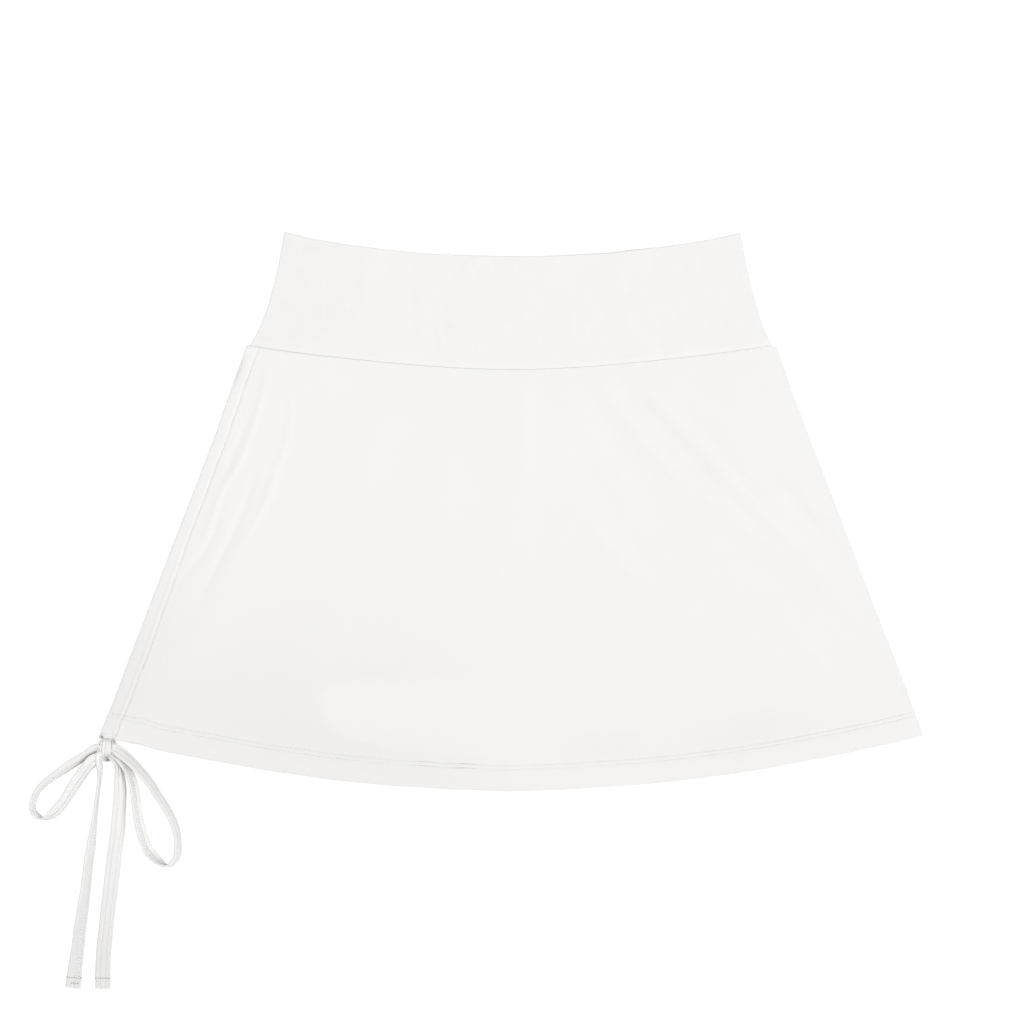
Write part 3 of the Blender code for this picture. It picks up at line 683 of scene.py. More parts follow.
def panel_painted_shade(x, y, from_hem):
    """The panel's tone, lowered by painted shade: over the left leg down to the edge of its hem, partly the
    show-through of its plies below; round the hem's stitches; in the waist seam; and in the patches.
    """
    beside = between(1, 0.18, rise(x + 0.25 * y, -122, 150))
    lower = np.clip((22 - y - 0.10 * x) / 150, 0, 1.15)
    past_end = smooth((x - follow(LEG_SHADE_END, y)) / 9 + 0.5)
    past_leg = rise(-y, 114, 7) * past_end * (1 - rise(x, -22, 40)) * between(0.35, 1, rise(from_hem, 15, 14))
    leg = LEG_SHADE * beside * lower ** 1.3 * (1 - 0.6 * past_leg)
    hem = follow(HEM_PAINTED_SHADE, x) * bell(from_hem - 17, 24, 3.0) * (1 - 0.45 * bell(from_hem, 13, 4.0))
    waist = follow(SEAM_PAINTED_SHADE, x) * bell(SKIRT_LENGTH - from_hem, 0.9)
    return 1 - (leg + hem + waist + crease_heights(x, y, PAINTED_SHADE_PATCHES)) / 100


def front_panel(finish):
    from_left, from_hem = skirt_grid()
    x, y, upper, lower = front_surface(from_left, from_hem)
    inner = np.where(from_left < CHANNEL_ROUND, PLY + from_left * (1 - PLY / CHANNEL_ROUND), from_left)
    under = points(*skirt_place(inner, from_hem), lower)
    tone = panel_painted_shade(x, y, from_hem)
    return shell("front_panel", "skirt_front", points(x, y, upper), under, finish, tone, from_hem)


# Creases of the back panel, soft and shallow, because it lies on the surface.
BACK_PULLS = (
    (9, (-120, 70), (-150, 40, 0.22), (-190, -20, 0.25), (-214, -60)),
    (12, (-30, 60), (-20, 20, 0.25), (4, -40, 0.22), (20, -80)),
    (10, (90, 84), (130, 50, 0.25), (176, -4, 0.28), (214, -60)),
    (8, (60, -20), (110, -60, 0.22), (160, -110, 0.2), (184, -140)),
    (7, (-140, -60), (-120, -100, 0.2), (-96, -140)),
)
# Where the back panel shows in the mouth of the channel, in shade: a crease whose heights are percents.
MOUTH_SHADE = (
    (1.9, (-289, -153), (-287.4, -156.6, 55), (-286.4, -160, 55)),
)


def back_surface(from_left, from_hem):
    """x, y and the heights of both faces of the back panel, whose outer face lies on the surface."""
    from_left, from_hem, from_line, from_right, from_seam, hem = panel_parts(from_left, from_hem)
    x, y = skirt_place(from_left, from_hem)
    edge = np.minimum(np.minimum(from_left, from_right), between(from_hem + FAR, from_hem, hem))
    sunk = 1 - quarter(edge / 1.2)
    lifted = crease_heights(x, y, BACK_PULLS) * rise(np.minimum(from_hem, from_seam), 20, 20)
    grooves = hem_grooves(from_hem) * hem + bell(from_line, 0.5) + 1.6 * bell(from_seam, 1.0)
    upper = BACK_TOP + hem * (DOUBLE_PLY - PLY) - 0.2 * sunk
    return x, y, upper, lifted + BACK_GROOVE * grooves + 0.45 * sunk


def back_panel(finish):
    from_left, from_hem = skirt_grid()
    x, y, upper, lower = back_surface(from_left, from_hem)
    tone = 1 - crease_heights(x, y, MOUTH_SHADE) / 100
    return shell("back_panel", "skirt_back", points(x, y, upper), points(x, y, lower), finish, tone, from_hem)


# ---- the waistband

BAND_DENTS = (
    (16, (-172, 170), (-156, 158, -0.6), (-138, 146, -0.6), (-126, 128)),
    (9, (-60, 168), (-52, 150, -0.3), (-46, 128, -0.3), (-44, 110)),
    (10, (40, 172), (52, 150, -0.3), (70, 128, -0.3), (84, 112)),
    (10, (96, 176), (110, 156, 0.35), (126, 134, 0.3), (138, 118)),
)


BAND_SWELL = 0.6
BACK_SHOWN = 2.1  # how far the back waistband's edge comes up where it shows


def band_grid():
    """(side, from seam) of the waistbands' grids."""
    from_seam = steps(0, (0.6, 5), (3, 6), (BAND_HEIGHT - 0.6, 54), (BAND_HEIGHT, 5))[:, None]
    side = steps(-1, (-0.9965, 5), (-0.97, 3), (0.97, 250), (0.9965, 3), (1, 5))[None]
    return np.broadcast_arrays(side, from_seam)


def back_shows(x):
    """1 where the back waistband's edge shows above the front one's, and 0 elsewhere."""
    return rise(x, 32, 10) * (1 - rise(x, 108, 8))


def front_band(finish):
    side, from_seam = band_grid()
    x, y = band_place(side, from_seam)
    share = from_seam / BAND_HEIGHT
    y = y - 0.3 * back_shows(x) * rise(share, 0.9, 0.1)
    dimples = 0.18 * ripple(x, y, 8, 5) + 0.12 * ripple(x, y, 4.2, 6) + 0.30 * ripple(x, y, 26, 7)
    dimples = (dimples + crease_heights(x, y, BAND_DENTS)) * rise(from_seam, 0, 5)
    from_side = band_half(share) * (1 - np.abs(side))
    rounded = np.minimum(quarter((BAND_HEIGHT - from_seam) / EDGE_ROUND), quarter(from_side / EDGE_ROUND))
    rounded = rounded * between(0.82, 1, rise(from_seam, 0, 3))
    upper = between(BAND_FLOOR + RIM, BAND_TOP + BAND_SWELL * bell(from_seam, 24) + dimples, rounded)
    # Painted shade on the band's left side; the ripples are its own uneven tone; and a painted highlight on
    # the roll just above the seam.
    tone = 1 - 0.016 * (1 - rise(x, -165, 90)) - 0.004 * (1 - rise(x, -60, 140))
    tone = tone + 0.004 * ripple(0.5 * x, y, 8, 9) + 0.003 * ripple(0.6 * x, y, 4, 10)
    tone = tone + 0.012 * bell(from_seam - 2.2, 1.8)
    under = points(x, y, BAND_FLOOR)
    return shell("front_band", "waistband_front", points(x, y, upper), under, finish, tone)


def back_band(finish):
    side, from_seam = band_grid()
    x, y = band_place(side, from_seam)
    edge = np.minimum(BAND_HEIGHT - from_seam, (WAIST_WIDTH / 2) * (1 - np.abs(side)))
    groove = 0.35 * bell(from_seam, 1.0) + 0.7 * (1 - quarter(edge / 2))
    calm = smooth(from_seam / BAND_HEIGHT * 6) * rise(edge, 0, 6)
    dimples = 0.05 * (1 + ripple(x, y, 9, 8)) * calm
    upper = DOUBLE_PLY - 0.6 * (1 - quarter(edge / 0.8))
    upper = upper + BACK_SHOWN * back_shows(x) * bell(BAND_HEIGHT - from_seam, 0.6)
    under = points(x, y, groove + dimples)
    return shell("back_band", "waistband_back", points(x, y, upper), under, finish)


# ---- the inner shorts and the casing

def shorts_place(side, across, from_edge):
    """(x, y) at shares of the way across a leg and up from its lower edge. side is -1 or 1."""
    distance = between(0.5 * GAP, SHORTS_HALF_WIDTH, across)
    top = SEAM_Y - 0.15 + SEAM_DIP * (distance / (SKIRT_TOP_WIDTH / 2)) ** 2
    hem = LEG_HEM_Y + LEG_HEM_RISE * (distance - LEG_GAP) / (SHORTS_HALF_WIDTH - LEG_GAP)
    hem = np.where(distance < LEG_GAP, between(CROTCH_Y, LEG_HEM_Y, distance / LEG_GAP), hem)
    return side * distance, between(hem, top, from_edge)


def shorts_ply(name, node, side, top, sink, finish):
    """One ply of a leg, down to the leg's hem line, that gives way under the panel's troughs."""
    across = steps(0, (0.035, 10), (0.97, 60), (1, 6))[None]
    up = steps(0, (0.02, 5), (0.08, 5), (0.98, 60), (1, 4))[:, None]
    x, y = shorts_place(side, across, up)
    dip = sink * np.minimum(crease_heights(x, y, PULLS) + PANEL_LIFT, 0)
    edge = np.minimum((1 - across) * SHORTS_HALF_WIDTH, (1 - up) * 200)
    rounding = 0.35 * (1 - quarter(edge))
    upper = top + dip - rounding
    lower = np.maximum(upper - 0.9 - 0.1 * dip + 2 * rounding, BACK_TOP + 0.5 * GAP)
    made = shell(name, node, points(x, y, upper), points(x, y, lower), finish)
    if side < 0:
        made.data.flip_normals()
    return made


def shorts(finish):
    plies = []
    for word, side in (("left", -1), ("right", 1)):
        for layer, top, sink in (("back", SHORTS_BACK_TOP, 0.55), ("front", SHORTS_FRONT_TOP, 1.0)):
            name, node = f"{word}_leg_{layer}", f"shorts_{word}_{layer}"
            plies.append(shorts_ply(name, node, side, top, sink, finish))
    return plies


def casing_strip(finish):
    """The folded strip between the two runs of tape, a little wider than the channel."""
    from_hem = np.linspace(3, 285, 141)[:, None]
    across = np.linspace(0, 1, 16)[None]
    x, y = skirt_place(between(1.7, 1.05 * channel_line(from_hem), across), from_hem)
    middle = casing_low[2] + 0.15 + 0.08 * ripple(x, y, 9, 9)
    half = 0.35 * (0.35 + 0.65 * np.sqrt(1 - (2 * across - 1) ** 4))
    upper, under = points(x, y, middle + half), points(x, y, middle - half)
    return shell("casing_strip", "channel_casing", upper, under, finish)


# ---- the drawstring

TAPE_WIDTH = 10.4
TAPE_THICK = 1.6
TAPE_SPACING = 0.8
WORN_LENGTH = 120  # over how much of its end a tape is worn
TAPE_HIDDEN = 14  # how much of a strand's start shows no stitches, in the gathers of the mouth
# Stations of the two strands, from the knot's centre: (x, y, turn, curl, fold, width, rest). A strand comes
# out of the mouth, goes round its loop and through the knot, and runs down its tail. turn is the angle from
# lying with the smooth face up, and curl is how far the section folds, both in degrees. fold says where along
# the width it folds, and rest how high its lowest edge is. USUAL holds what a station leaves out.
USUAL = (0, 0, TAPE_WIDTH, 0.24)
STRANDS = {
    "left": (
        (0.4, 13, -8, 0, 0, 5.2, 3.2), (0.4, 9.5, 14, 0, 0, 5, 2.8), (-1.2, 5, 60, 0, 0, 5.6, 1.8),
        (-7, 3.4, 116, -48, 0.12, 9.8, 1.6), (-12.6, -0.8, 118, -56, 0.16, 10.2, 0.5),
        (-18.5, -4.9, 120, -62, 0.18), (-26.5, -9.7, 118, -62, 0.2), (-34.1, -15.3, 112, -62, 0.2),
        (-41.6, -20.6, 106, -60, 0.2), (-47.3, -26.6, 104, -54, 0.2), (-50.6, -32.9, 103, -44, 0.15),
        (-51.5, -38.2, 103, -36, 0.12), (-49.8, -42.1, 101, -24, 0.1), (-46.9, -44.9, 97, -8),
        (-44.2, -45.8, 79, 6), (-41.6, -45.3, 67, 16), (-38.6, -43.4, 56, 24),
        (-35.2, -40.5, 49, 32, -0.08), (-30, -34.7, 43, 38, -0.12), (-24.9, -26.5, 40, 42, -0.15),
        (-19.4, -18.1, 40, 42, -0.15, 10.4, 0.8), (-13.9, -10.5, 38, 36, -0.15, 10.4, 2.6),
        (-8.6, -4.5, 32, 20, -0.1, 9.6, 4.2),
        (-3.6, -1.6, 50, 0, 0, 6, 2.6), (-1.6, -1, 80, 0, 0, 5.6, 3), (-5.7, -0.8, 112, 0, 0, 5, 4.8),
        (-5.9, -4.6, 112, 10, 0, 5.8, 3.6), (-5.3, -9, 110, 15, 0, 7, 1.2), (-5, -13, 102, 10, 0, 8.4, 0.2),
        (-5.2, -18.4, 96, 0, 0, 10), (-6.2, -26.3, 96), (-7.1, -34, 99), (-8.1, -41.8, 101),
        (-9.1, -49.6, 104, 5), (-10.3, -57.3, 111, 10), (-11.3, -65.1, 117, 15), (-12.7, -72.9, 121, 18),
        (-13.6, -80.6, 124, 20), (-15.4, -95.8, 128, 20), (-17.4, -109.8, 132, 18),
        (-19.2, -123.8, 137, 15), (-20.8, -137.8, 144, 12), (-22.6, -151.8, 158, 8),
        (-24.1, -164.4, 176, 4),
    ),
    "right": (
        (4.2, 13, 6, 0, 0, 4.8, 3), (3.8, 9.5, -8, 0, 0, 4.6, 2.8), (2.6, 5.2, -24, 0, 0, 5.6, 2.4),
        (6.8, 2.6, -40, 10, 0, 9.2, 2.6), (12.6, -1.7, -48, 18, 0, 10.2, 1.2),
        (19.2, -7.5, -55, 24, 0.05, 10.4, 0.3), (25.6, -14.4, -59, 28, 0.1), (31.6, -22.1, -61, 28, 0.1),
        (36.6, -29.9, -62, 30, 0.1), (41.7, -37.7, -63, 30, 0.1), (46, -45.5, -65, 30, 0.1),
        (48.9, -53.1, -68, 30, 0.1), (50.1, -61.1, -68, 28, 0.1), (50.1, -69.1, -67, 24),
        (48.9, -74.4, -72, 38), (46.2, -77.6, -77, 48), (43.4, -79, -85, 20), (40.5, -78.6, -96, 12, 0.04),
        (37.2, -77.1, -106, 36, 0.1), (33.8, -74.6, -115, 62, 0.16), (29.2, -70.2, -119, 80, 0.2),
        (25.8, -63.9, -118, 84, 0.2), (23.1, -56, -117, 84, 0.2), (21.2, -47.9, -116, 84, 0.2),
        (19.8, -39.7, -115, 82, 0.2), (18.9, -31.3, -114, 76, 0.2), (17.9, -23.5, -113, 66, 0.18, 10.2),
        (15.5, -15.7, -112, 50, 0.15, 9.8, 0.4), (12.4, -9.9, -109, 30, 0.1, 9.2, 1.2),
        (8.4, -4.8, -106, 10, 0, 8.4, 2.4),
        (3.8, -2, -100, 0, 0, 6, 2.2), (1.6, -1.8, -90, 0, 0, 5.4, 2.6), (3.4, -3.4, -80, 0, 0, 5, 1.8),
        (6, -6.4, -75, 0, 0, 5, 0.6), (7.8, -9.8, -58, 10, 0, 6, 0.3), (8.8, -14.2, -40, 44, 0, 7.4),
        (9.3, -18.6, -32, 64, 0.02, 8.8), (9.7, -23.5, -26, 76, 0.04, 10), (9.8, -29.3, -22, 78, 0.05),
        (9.1, -37.1, -16, 72, 0.08), (8, -48, -8, 54, 0.12), (7.2, -55.8, -4, 44, 0.14),
        (5.6, -66.7, -1, 32, 0.15), (4.1, -78.5, 0, 20, 0.15), (2.3, -94.5, 0, 6), (0.4, -109.8, 0, 6),
        (-1.4, -127.3, 0, 5), (-3, -144.8, 0, 4), (-3.3, -165, 0, 3),
    ),
}
WIDTH_STEPS = 40
MIDDLE = WIDTH_STEPS // 2
SHARES = np.linspace(-0.5, 0.5, WIDTH_STEPS + 1)
NEEDLE_ROWS = {"left": (-0.38, -0.03), "right": (-0.17, 0.20)}  # where the two rows lie across the tape
NEEDLE_DEPTHS = {"left": 0.34, "right": 0.20}  # how far they pull the smooth face in: share of the thickness
FOLD_LINE = 0.35  # where a pressed line runs along the smooth face
# How much darker the tape is where it is worn; the painted shade between its gathers and inside a fold; and
# the painted light on its reverse where it stands steep.
WORN_SHADE = 0.10
GATHER_SHADE = 0.5
HOLLOW_SHADE = 0.19
STEEP_LIGHT = 0.13
FACE_STEPS = 26
EDGE_STEPS = 5


class TapeRun:
    """Stations along a tape: where its section's middle lies, which way it faces, and how it is folded."""

    def __init__(self, *fields, thick=TAPE_THICK):
        self.fields, self.thick = fields, thick
        self.centres, self.across, self.normal, self.width, self.along, curl, fold = fields
        self.gather = np.clip(1 - self.width / TAPE_WIDTH, 0, 1)[:, None]
        self.depth = thick * (1 + 0.9 * self.gather)
        reach = 1 - 1.2 * np.abs(fold)[:, None]
        folded = smooth((SHARES - fold[:, None]) / reach + 0.5)
        self.bend = curl[:, None] * (folded - folded[:, MIDDLE, None])
        self.aside = self.summed(np.cos(self.bend))
        self.rise = self.summed(-np.sin(self.bend))

    @staticmethod
    def summed(rates):
        """The running sum across the width, from the middle outwards."""
        total = np.cumsum((rates[:, 1:] + rates[:, :-1]) / 2, axis=1) * (SHARES[1] - SHARES[0])
        total = np.pad(total, ((0, 0), (1, 0)))
        return total - total[:, MIDDLE, None]

    @staticmethod
    def at(values, share):
        """Values at shares of the width, between the ones at SHARES."""
        place = np.clip((np.asarray(share) + 0.5) * WIDTH_STEPS, 0, WIDTH_STEPS - 0.001)
        low = place.astype(int)
        return between(values[:, low], values[:, low + 1], place - low)

    def spots(self, share, out):
        """Points at shares of the width, and out of the smooth face by shares of the thickness."""
        bend, out, width = self.at(self.bend, share), out * self.depth, self.width[:, None]
        aside = width * self.at(self.aside, share) + out * np.sin(bend)
        lift = width * self.at(self.rise, share) + out * np.cos(bend)
        return (self.centres[:, None] + aside[..., None] * self.across[:, None]
                + lift[..., None] * self.normal[:, None])

    def facing(self, share):
        """Which way the smooth face looks at a share of the width."""
        bend = self.at(self.bend, [share])
        return self.normal * np.cos(bend) + self.across * np.sin(bend)

    def stretch(self, keep):
        """The run's stations that are kept."""
        return TapeRun(*(field[keep] for field in self.fields), thick=self.thick)


def tape_run(stations):
    """A run along a smooth curve through those stations."""
    fine = smooth_line([(*station, *USUAL[len(station) - 3:]) for station in stations], 24)
    along = way_along(fine[:, :2])
    at = np.linspace(0, along[-1], int(along[-1] / TAPE_SPACING) + 1)
    x, y, turn, curl, fold, width, rest = (np.interp(at, along, column) for column in fine.T)
    centres = points(KNOT[0] + x, KNOT[1] + y, 0)
    onward = unit(np.gradient(centres, axis=0))
    turn = np.radians(turn + 2.5 * ripple(at, 0, 14, 21))
    across = points(-onward[:, 1] * np.cos(turn), onward[:, 0] * np.cos(turn), np.sin(turn))
    width = width * (1 + 0.02 * ripple(at, 0, 9, 22))
    run = TapeRun(centres, across, np.cross(onward, across), width, at, np.radians(curl), fold)
    around = np.linspace(-0.5, 0.5, 21)
    lowest = np.minimum(run.spots(around, 0.5)[..., 2], run.spots(around, -0.5)[..., 2]).min(axis=1)
    run.centres[:, 2] = rest - lowest
    return run


def tape_profile(rows, pull=0.20):
    """Points round the tape's section, (share of the width, share of the thickness), smooth face first.
    Rows of needle holes run in it, and the looper's threads raise its reverse between them."""
    round_off = 0.5 * TAPE_THICK / TAPE_WIDTH
    flat = 0.5 - round_off
    across = np.linspace(-flat, flat, FACE_STEPS)
    needle = sum(bell(across - row, 0.15 * pull + 0.005) for row in rows)
    face = 0.5 - pull * needle - 0.16 * bell(across - FOLD_LINE, 0.03) - 0.04 * (across > FOLD_LINE)
    raised = rise(across, rows[0], 0.04) * rise(-across, -rows[1], 0.04)
    reverse = -0.46 - 0.07 * raised + 0.12 * needle
    angles = np.linspace(math.pi / 2, -math.pi / 2, EDGE_STEPS + 2)[1:-1]
    edge = points(flat + round_off * np.cos(angles), 0.48 * np.sin(angles))
    return np.array([*zip(across, face), *edge, *zip(across[::-1], reverse[::-1]), *-edge])


def tube(rings):
    """(numbers of the points of rings, faces between each ring and the next)."""
    at = np.arange(rings.shape[0] * rings.shape[1]).reshape(rings.shape[:2])
    ahead = np.roll(at, -1, axis=1)
    return at, np.stack([at[:-1], at[1:], ahead[1:], ahead[:-1]], axis=-1).reshape(-1, 4)


def sweep(name, run, profile, finish, *nodes):
    """A closed body whose section follows the run."""
    share, out = profile.T
    pleats = 0.5 * run.gather * np.sin(share * 17 + 1) * (np.abs(out) > 0.3)
    rings = run.spots(share, out + pleats)
    vertices = np.concatenate([rings.reshape(-1, 3), run.centres[[0, -1]]])
    at, quads = tube(rings)
    ahead = np.roll(at, -1, axis=1)
    tips = np.full((2, len(share)), [[at.size], [at.size + 1]])
    ends = [*zip(tips[0], at[0], ahead[0]), *zip(tips[1], ahead[-1], at[-1])]
    to_end = run.along[-1] - run.along[:, None]
    worn = 1 - WORN_SHADE * np.clip(1 - to_end / WORN_LENGTH, 0, 1)
    bend = run.at(run.bend, share)
    level = np.abs(run.normal[:, 2:] * np.cos(bend) + run.across[:, 2:] * np.sin(bend))
    # Painted shade between the gathers and inside a fold, and painted light on the reverse where it stands
    # steep; the reverse is 2 percent darker all over.
    folded = 1 - GATHER_SHADE * run.gather * (pleats < -0.1) - 0.02 * (out < -0.3)
    folded = folded - HOLLOW_SHADE * rise(bend, 0.3, 0.35) * (out > 0.1)
    folded = folded + STEEP_LIGHT * rise(-level, -0.75, 0.5) * (out < -0.3)
    tone = np.append(worn * folded, [1, 1])
    uv = flat_points(run.along[:, None], share * run.width[:, None])
    uv = np.concatenate([uv, [[run.along[0], 0], [run.along[-1], 0]]])
    mesh = body(name, vertices, quads.tolist() + ends, tone, "tape", uv, 60)
    return dressed(name, mesh, finish, *nodes)


def strand(word, finish, threads):
    run = tape_run(STRANDS[word])
    rows = NEEDLE_ROWS[word]
    pull = NEEDLE_DEPTHS[word]
    nodes = f"drawstring_loop_{word}", f"drawstring_tail_{word}"
    made = sweep(f"{word}_strand", run, tape_profile(rows, pull), finish, *nodes)
    stitches = strand_stitches(word, run, rows, 0.5 - pull / 2, *threads)
    path = (run.centres * MM).tolist()


def channel_tape(finish):
    """The run of tape inside the channel: up the front tunnel, over the casing and down the back tunnel."""
    low, high = box("drawstring_in_channel")
    width, thick = 4.8, 1.0
    front_z, back_z = high[2] - 1.4, low[2] + thick / 2
    from_hem = np.linspace(1, SKIRT_LENGTH - 6.5, 90)
    channel_width = between(CHANNEL_HEM_WIDTH, CHANNEL_TOP_WIDTH, from_hem / SKIRT_LENGTH)
    x, y = skirt_place((CHANNEL_ROUND + 0.8 * channel_width) / 2, from_hem)
    up, down = points(x, y, front_z), points(x, y, back_z)[::-1]
    ahead = unit(up[-1] - up[-2])
    radius = (front_z - back_z) / 2
    angles = np.linspace(0, math.pi, 12)[1:-1, None]
    turned = up[-1] - radius * UP + radius * (ahead * np.sin(angles) + UP * np.cos(angles))
    centres = np.concatenate([up, turned, down])
    onward = unit(np.gradient(centres, axis=0))
    across = np.broadcast_to(unit(np.cross(UP, ahead)), centres.shape)
    none = np.zeros(len(centres))
    run = TapeRun(centres, across, np.cross(onward, across), width + none, way_along(centres), none, none,
                  thick=thick)
    sweep("channel_tape", run, tape_profile(NEEDLE_ROWS["right"])[::2], finish, "drawstring_in_channel")


# The knot's gathers run from its top to its bottom edge: (angle round it in degrees, half width, height).
# 90 degrees is its upper side and 0 its right one.
KNOT_GATHERS = ((156, 9, 0.7), (133, 8, 0.55), (113, 8, 0.75), (94, 7, 0.5), (78, 7, 0.7), (66, 6, 0.4),
    (44, 8, 0.6), (26, 10, 0.6), (58, 3.5, -1.6), (145, 4, -0.5), (122.5, 3, -0.5), (103, 3, -0.5),
    (34, 4, -0.5), (-30, 12, 0.5), (-70, 12, 0.4), (-110, 12, 0.4), (-150, 12, 0.5))
KNOT_HALF = (6.6, 8.2, 4.4)
KNOT_AROUND = 120
KNOT_ALONG = 44


def knot_wrap(finish):
    """The wrap of gathered tape that holds the bow, with a hollow under its lower edge."""
    around = np.linspace(0, 2 * math.pi, KNOT_AROUND, endpoint=False)[None]
    angle = np.degrees(around)
    v = np.sin(np.linspace(-math.pi / 2, math.pi / 2, KNOT_ALONG + 2)[1:-1])[:, None]
    swell = (1 - np.abs(v) ** 3) ** (1 / 2.4)
    gathers = sum(high * bell((angle - at + 180) % 360 - 180, width) for at, width, high in KNOT_GATHERS)
    lip = bell(v - 0.72, 0.16) * 0.4 + bell(v + 0.30, 0.2) * 0.5
    hollow = 4.2 * rise(-v, 0.52, 0.22) * bell(angle - 66, 40, 3.0)
    half_x, half_y, half_z = KNOT_HALF
    grow = (gathers + lip - hollow) * swell
    x = KNOT[0] + (half_x * swell + grow) * np.cos(around) + 0.5 * v
    y = half_y * v + 2.3 + 0.35 * np.sin(around * 3 + 1) * swell
    z = KNOT[2] + (half_z * swell + grow) * np.sin(around)
    rings = points(x, KNOT[1] + y, np.maximum(z, 0.1))
    at, quads = tube(rings)
    faces = np.roll(quads, -1, axis=1).tolist() + [at[0].tolist(), at[-1, ::-1].tolist()]
    # Painted shade in the troughs between the gathers, in the hollow under the lower edge, along the upper
    # lip, and in the crevice at the top where the knot meets the mouth.
    knot_painted_shade = 0.35 * np.clip(-gathers, 0, 1) + 0.6 * rise(-v, 0.05, 0.8) * bell(angle - 60, 46, 3.0)
    knot_painted_shade = knot_painted_shade + 0.5 * bell(v - 0.72, 0.24, 3.0) * bell(angle - 36, 16) + 0.4 * rise(v, 0.9, 0.1)
    tone = 1 - np.clip(knot_painted_shade, 0, 0.65)
    mesh = body("knot_wrap", rings.reshape(-1, 3), faces, tone, "tape", flat_points(y, around * 5), 180)
    dressed("knot_wrap", mesh, finish, "drawstring_knot")


# ---- stitches

def stitch_tree():
    """Geometry nodes that lay short stitches along rails. A rail's "face" points out of the cloth, and its
    "fullness" says how big the stitches are."""
    group = bpy.data.node_groups.new("stitch_row", "GeometryNodeTree")
    sizes = ("Pitch", "Stitch Length", "Thread", "Slant", "Unevenness")
    kinds = {"Geometry": "Geometry", **{name: "Float" for name in sizes}, "Finish": "Material"}
    for name, kind in kinds.items():
        group.interface.new_socket(name, in_out="INPUT", socket_type="NodeSocket" + kind)
    group.interface.new_socket("Geometry", in_out="OUTPUT", socket_type="NodeSocketGeometry")
    tree = Tree(group)
    add = tree.node

    def named(name, kind):
        return add("GeometryNodeInputNamedAttribute", {"Name": name}, "Attribute", data_type=kind)

    first = add("NodeGroupInput")
    given = {socket.name: Wire(tree, socket) for socket in first.socket.node.outputs}
    rails = add("GeometryNodeMeshToCurve", {"Mesh": given["Geometry"]})
    row = add("GeometryNodeResampleCurve", {"Curve": rails, "Length": given["Pitch"]}, mode="LENGTH")
    face = named("face", "FLOAT_VECTOR")
    lie = add("FunctionNodeAxesToRotation",
              {"Primary Axis": face, "Secondary Axis": add("GeometryNodeInputTangent")},
              primary_axis="Z", secondary_axis="X")
    stray = add("FunctionNodeRandomValue", {2: -1.0, 3: 1.0, "Seed": 5}, 1, data_type="FLOAT")
    swing = stray.maths("MULTIPLY_ADD", given["Unevenness"], given["Slant"])
    swung = add("FunctionNodeEulerToRotation", {"Euler": add("ShaderNodeCombineXYZ", {"Z": swing})})
    laid = add("FunctionNodeRotateRotation", {"Rotation": lie, "Rotate By": swung}, rotation_space="LOCAL")
    bead = add("GeometryNodeMeshUVSphere", {"Segments": 6, "Rings": 4, "Radius": 0.5}, "Mesh")
    even = add("ShaderNodeCombineXYZ",
               {"X": given["Stitch Length"], "Y": given["Thread"], "Z": given["Thread"]})
    size = add("ShaderNodeVectorMath", {0: even, "Scale": named("fullness", "FLOAT")}, operation="SCALE")
    beads = add("GeometryNodeInstanceOnPoints",
                {"Points": row, "Instance": bead, "Rotation": laid, "Scale": size})
    plain = add("GeometryNodeRealizeInstances", {"Geometry": beads})
    soft = add("GeometryNodeSetShadeSmooth", {"Geometry": plain})
    painted = add("GeometryNodeSetMaterial", {"Geometry": soft, "Material": given["Finish"]})
    add("NodeGroupOutput", {"Geometry": painted})
    return group


STITCH_TREE = stitch_tree()


def stitched(name, rails, pitch, length, thread, finish, slant=0.0, uneven=0.1):
    """Stitches along rails: each is (points, the cloth's outward directions, the stitches' fullness)."""
    mesh = bpy.data.meshes.new(name + "_rails")
    edges, start = [], 0
    for where, _, _ in rails:
        stop = start + len(where)
        edges += zip(range(start, stop - 1), range(start + 1, stop))
        start = stop
    mesh.from_pydata(np.concatenate([where for where, _, _ in rails]) * MM, edges, [])
    faces = [np.broadcast_to(face, where.shape) for where, face, _ in rails]
    full = [np.broadcast_to(fullness, len(where)) for where, _, fullness in rails]
    marks = ("face", "FLOAT_VECTOR", "vector", faces), ("fullness", "FLOAT", "value", full)
    for attribute, kind, field, values in marks:
        data = mesh.attributes.new(attribute, kind, "POINT").data
        data.foreach_set(field, np.concatenate(values).astype(np.float32).ravel())
    guide = placed(name + "_rails", mesh)
    modifier = guide.modifiers.new("stitches", "NODES")
    modifier.node_group = STITCH_TREE
    sockets = {s.name: s.identifier for s in STITCH_TREE.interface.items_tree if s.in_out == "INPUT"}
    values = {"Pitch": pitch * MM, "Stitch Length": length * MM, "Thread": thread * MM, "Slant": slant,
              "Unevenness": uneven, "Finish": finish.material}
    for socket, value in values.items():
        modifier[sockets[socket]] = value
    bpy.context.view_layer.update()
    seen = guide.evaluated_get(bpy.context.evaluated_depsgraph_get())
    plain = bpy.data.meshes.new_from_object(seen)
    plain.name = name
    bpy.data.objects.remove(guide)
    made = placed(name, plain)
    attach(made, "root")
    return made


def stitching(name, slot, *rows):
    """One piece out of rows of stitches: each is its word, and then what stitched takes."""
    objects = [stitched(f"{name}_{word}", *rest) for word, *rest in rows]
    with bpy.context.temp_override(active_object=objects[0], selected_editable_objects=objects):
        bpy.ops.object.join()
    objects[0].name = objects[0].data.name = name
    return objects[0]


def front_rail(from_left, from_hem, fullness=1.0):
    x, y, upper, _ = front_surface(from_left, from_hem)
    return points(x, y, upper), UP, fullness


def back_rail(from_left, from_hem, fullness=1.0):
    x, y, _, lower = back_surface(from_left, from_hem)
    return points(x, y, lower + 0.1), -UP, np.minimum(fullness, 0.9)


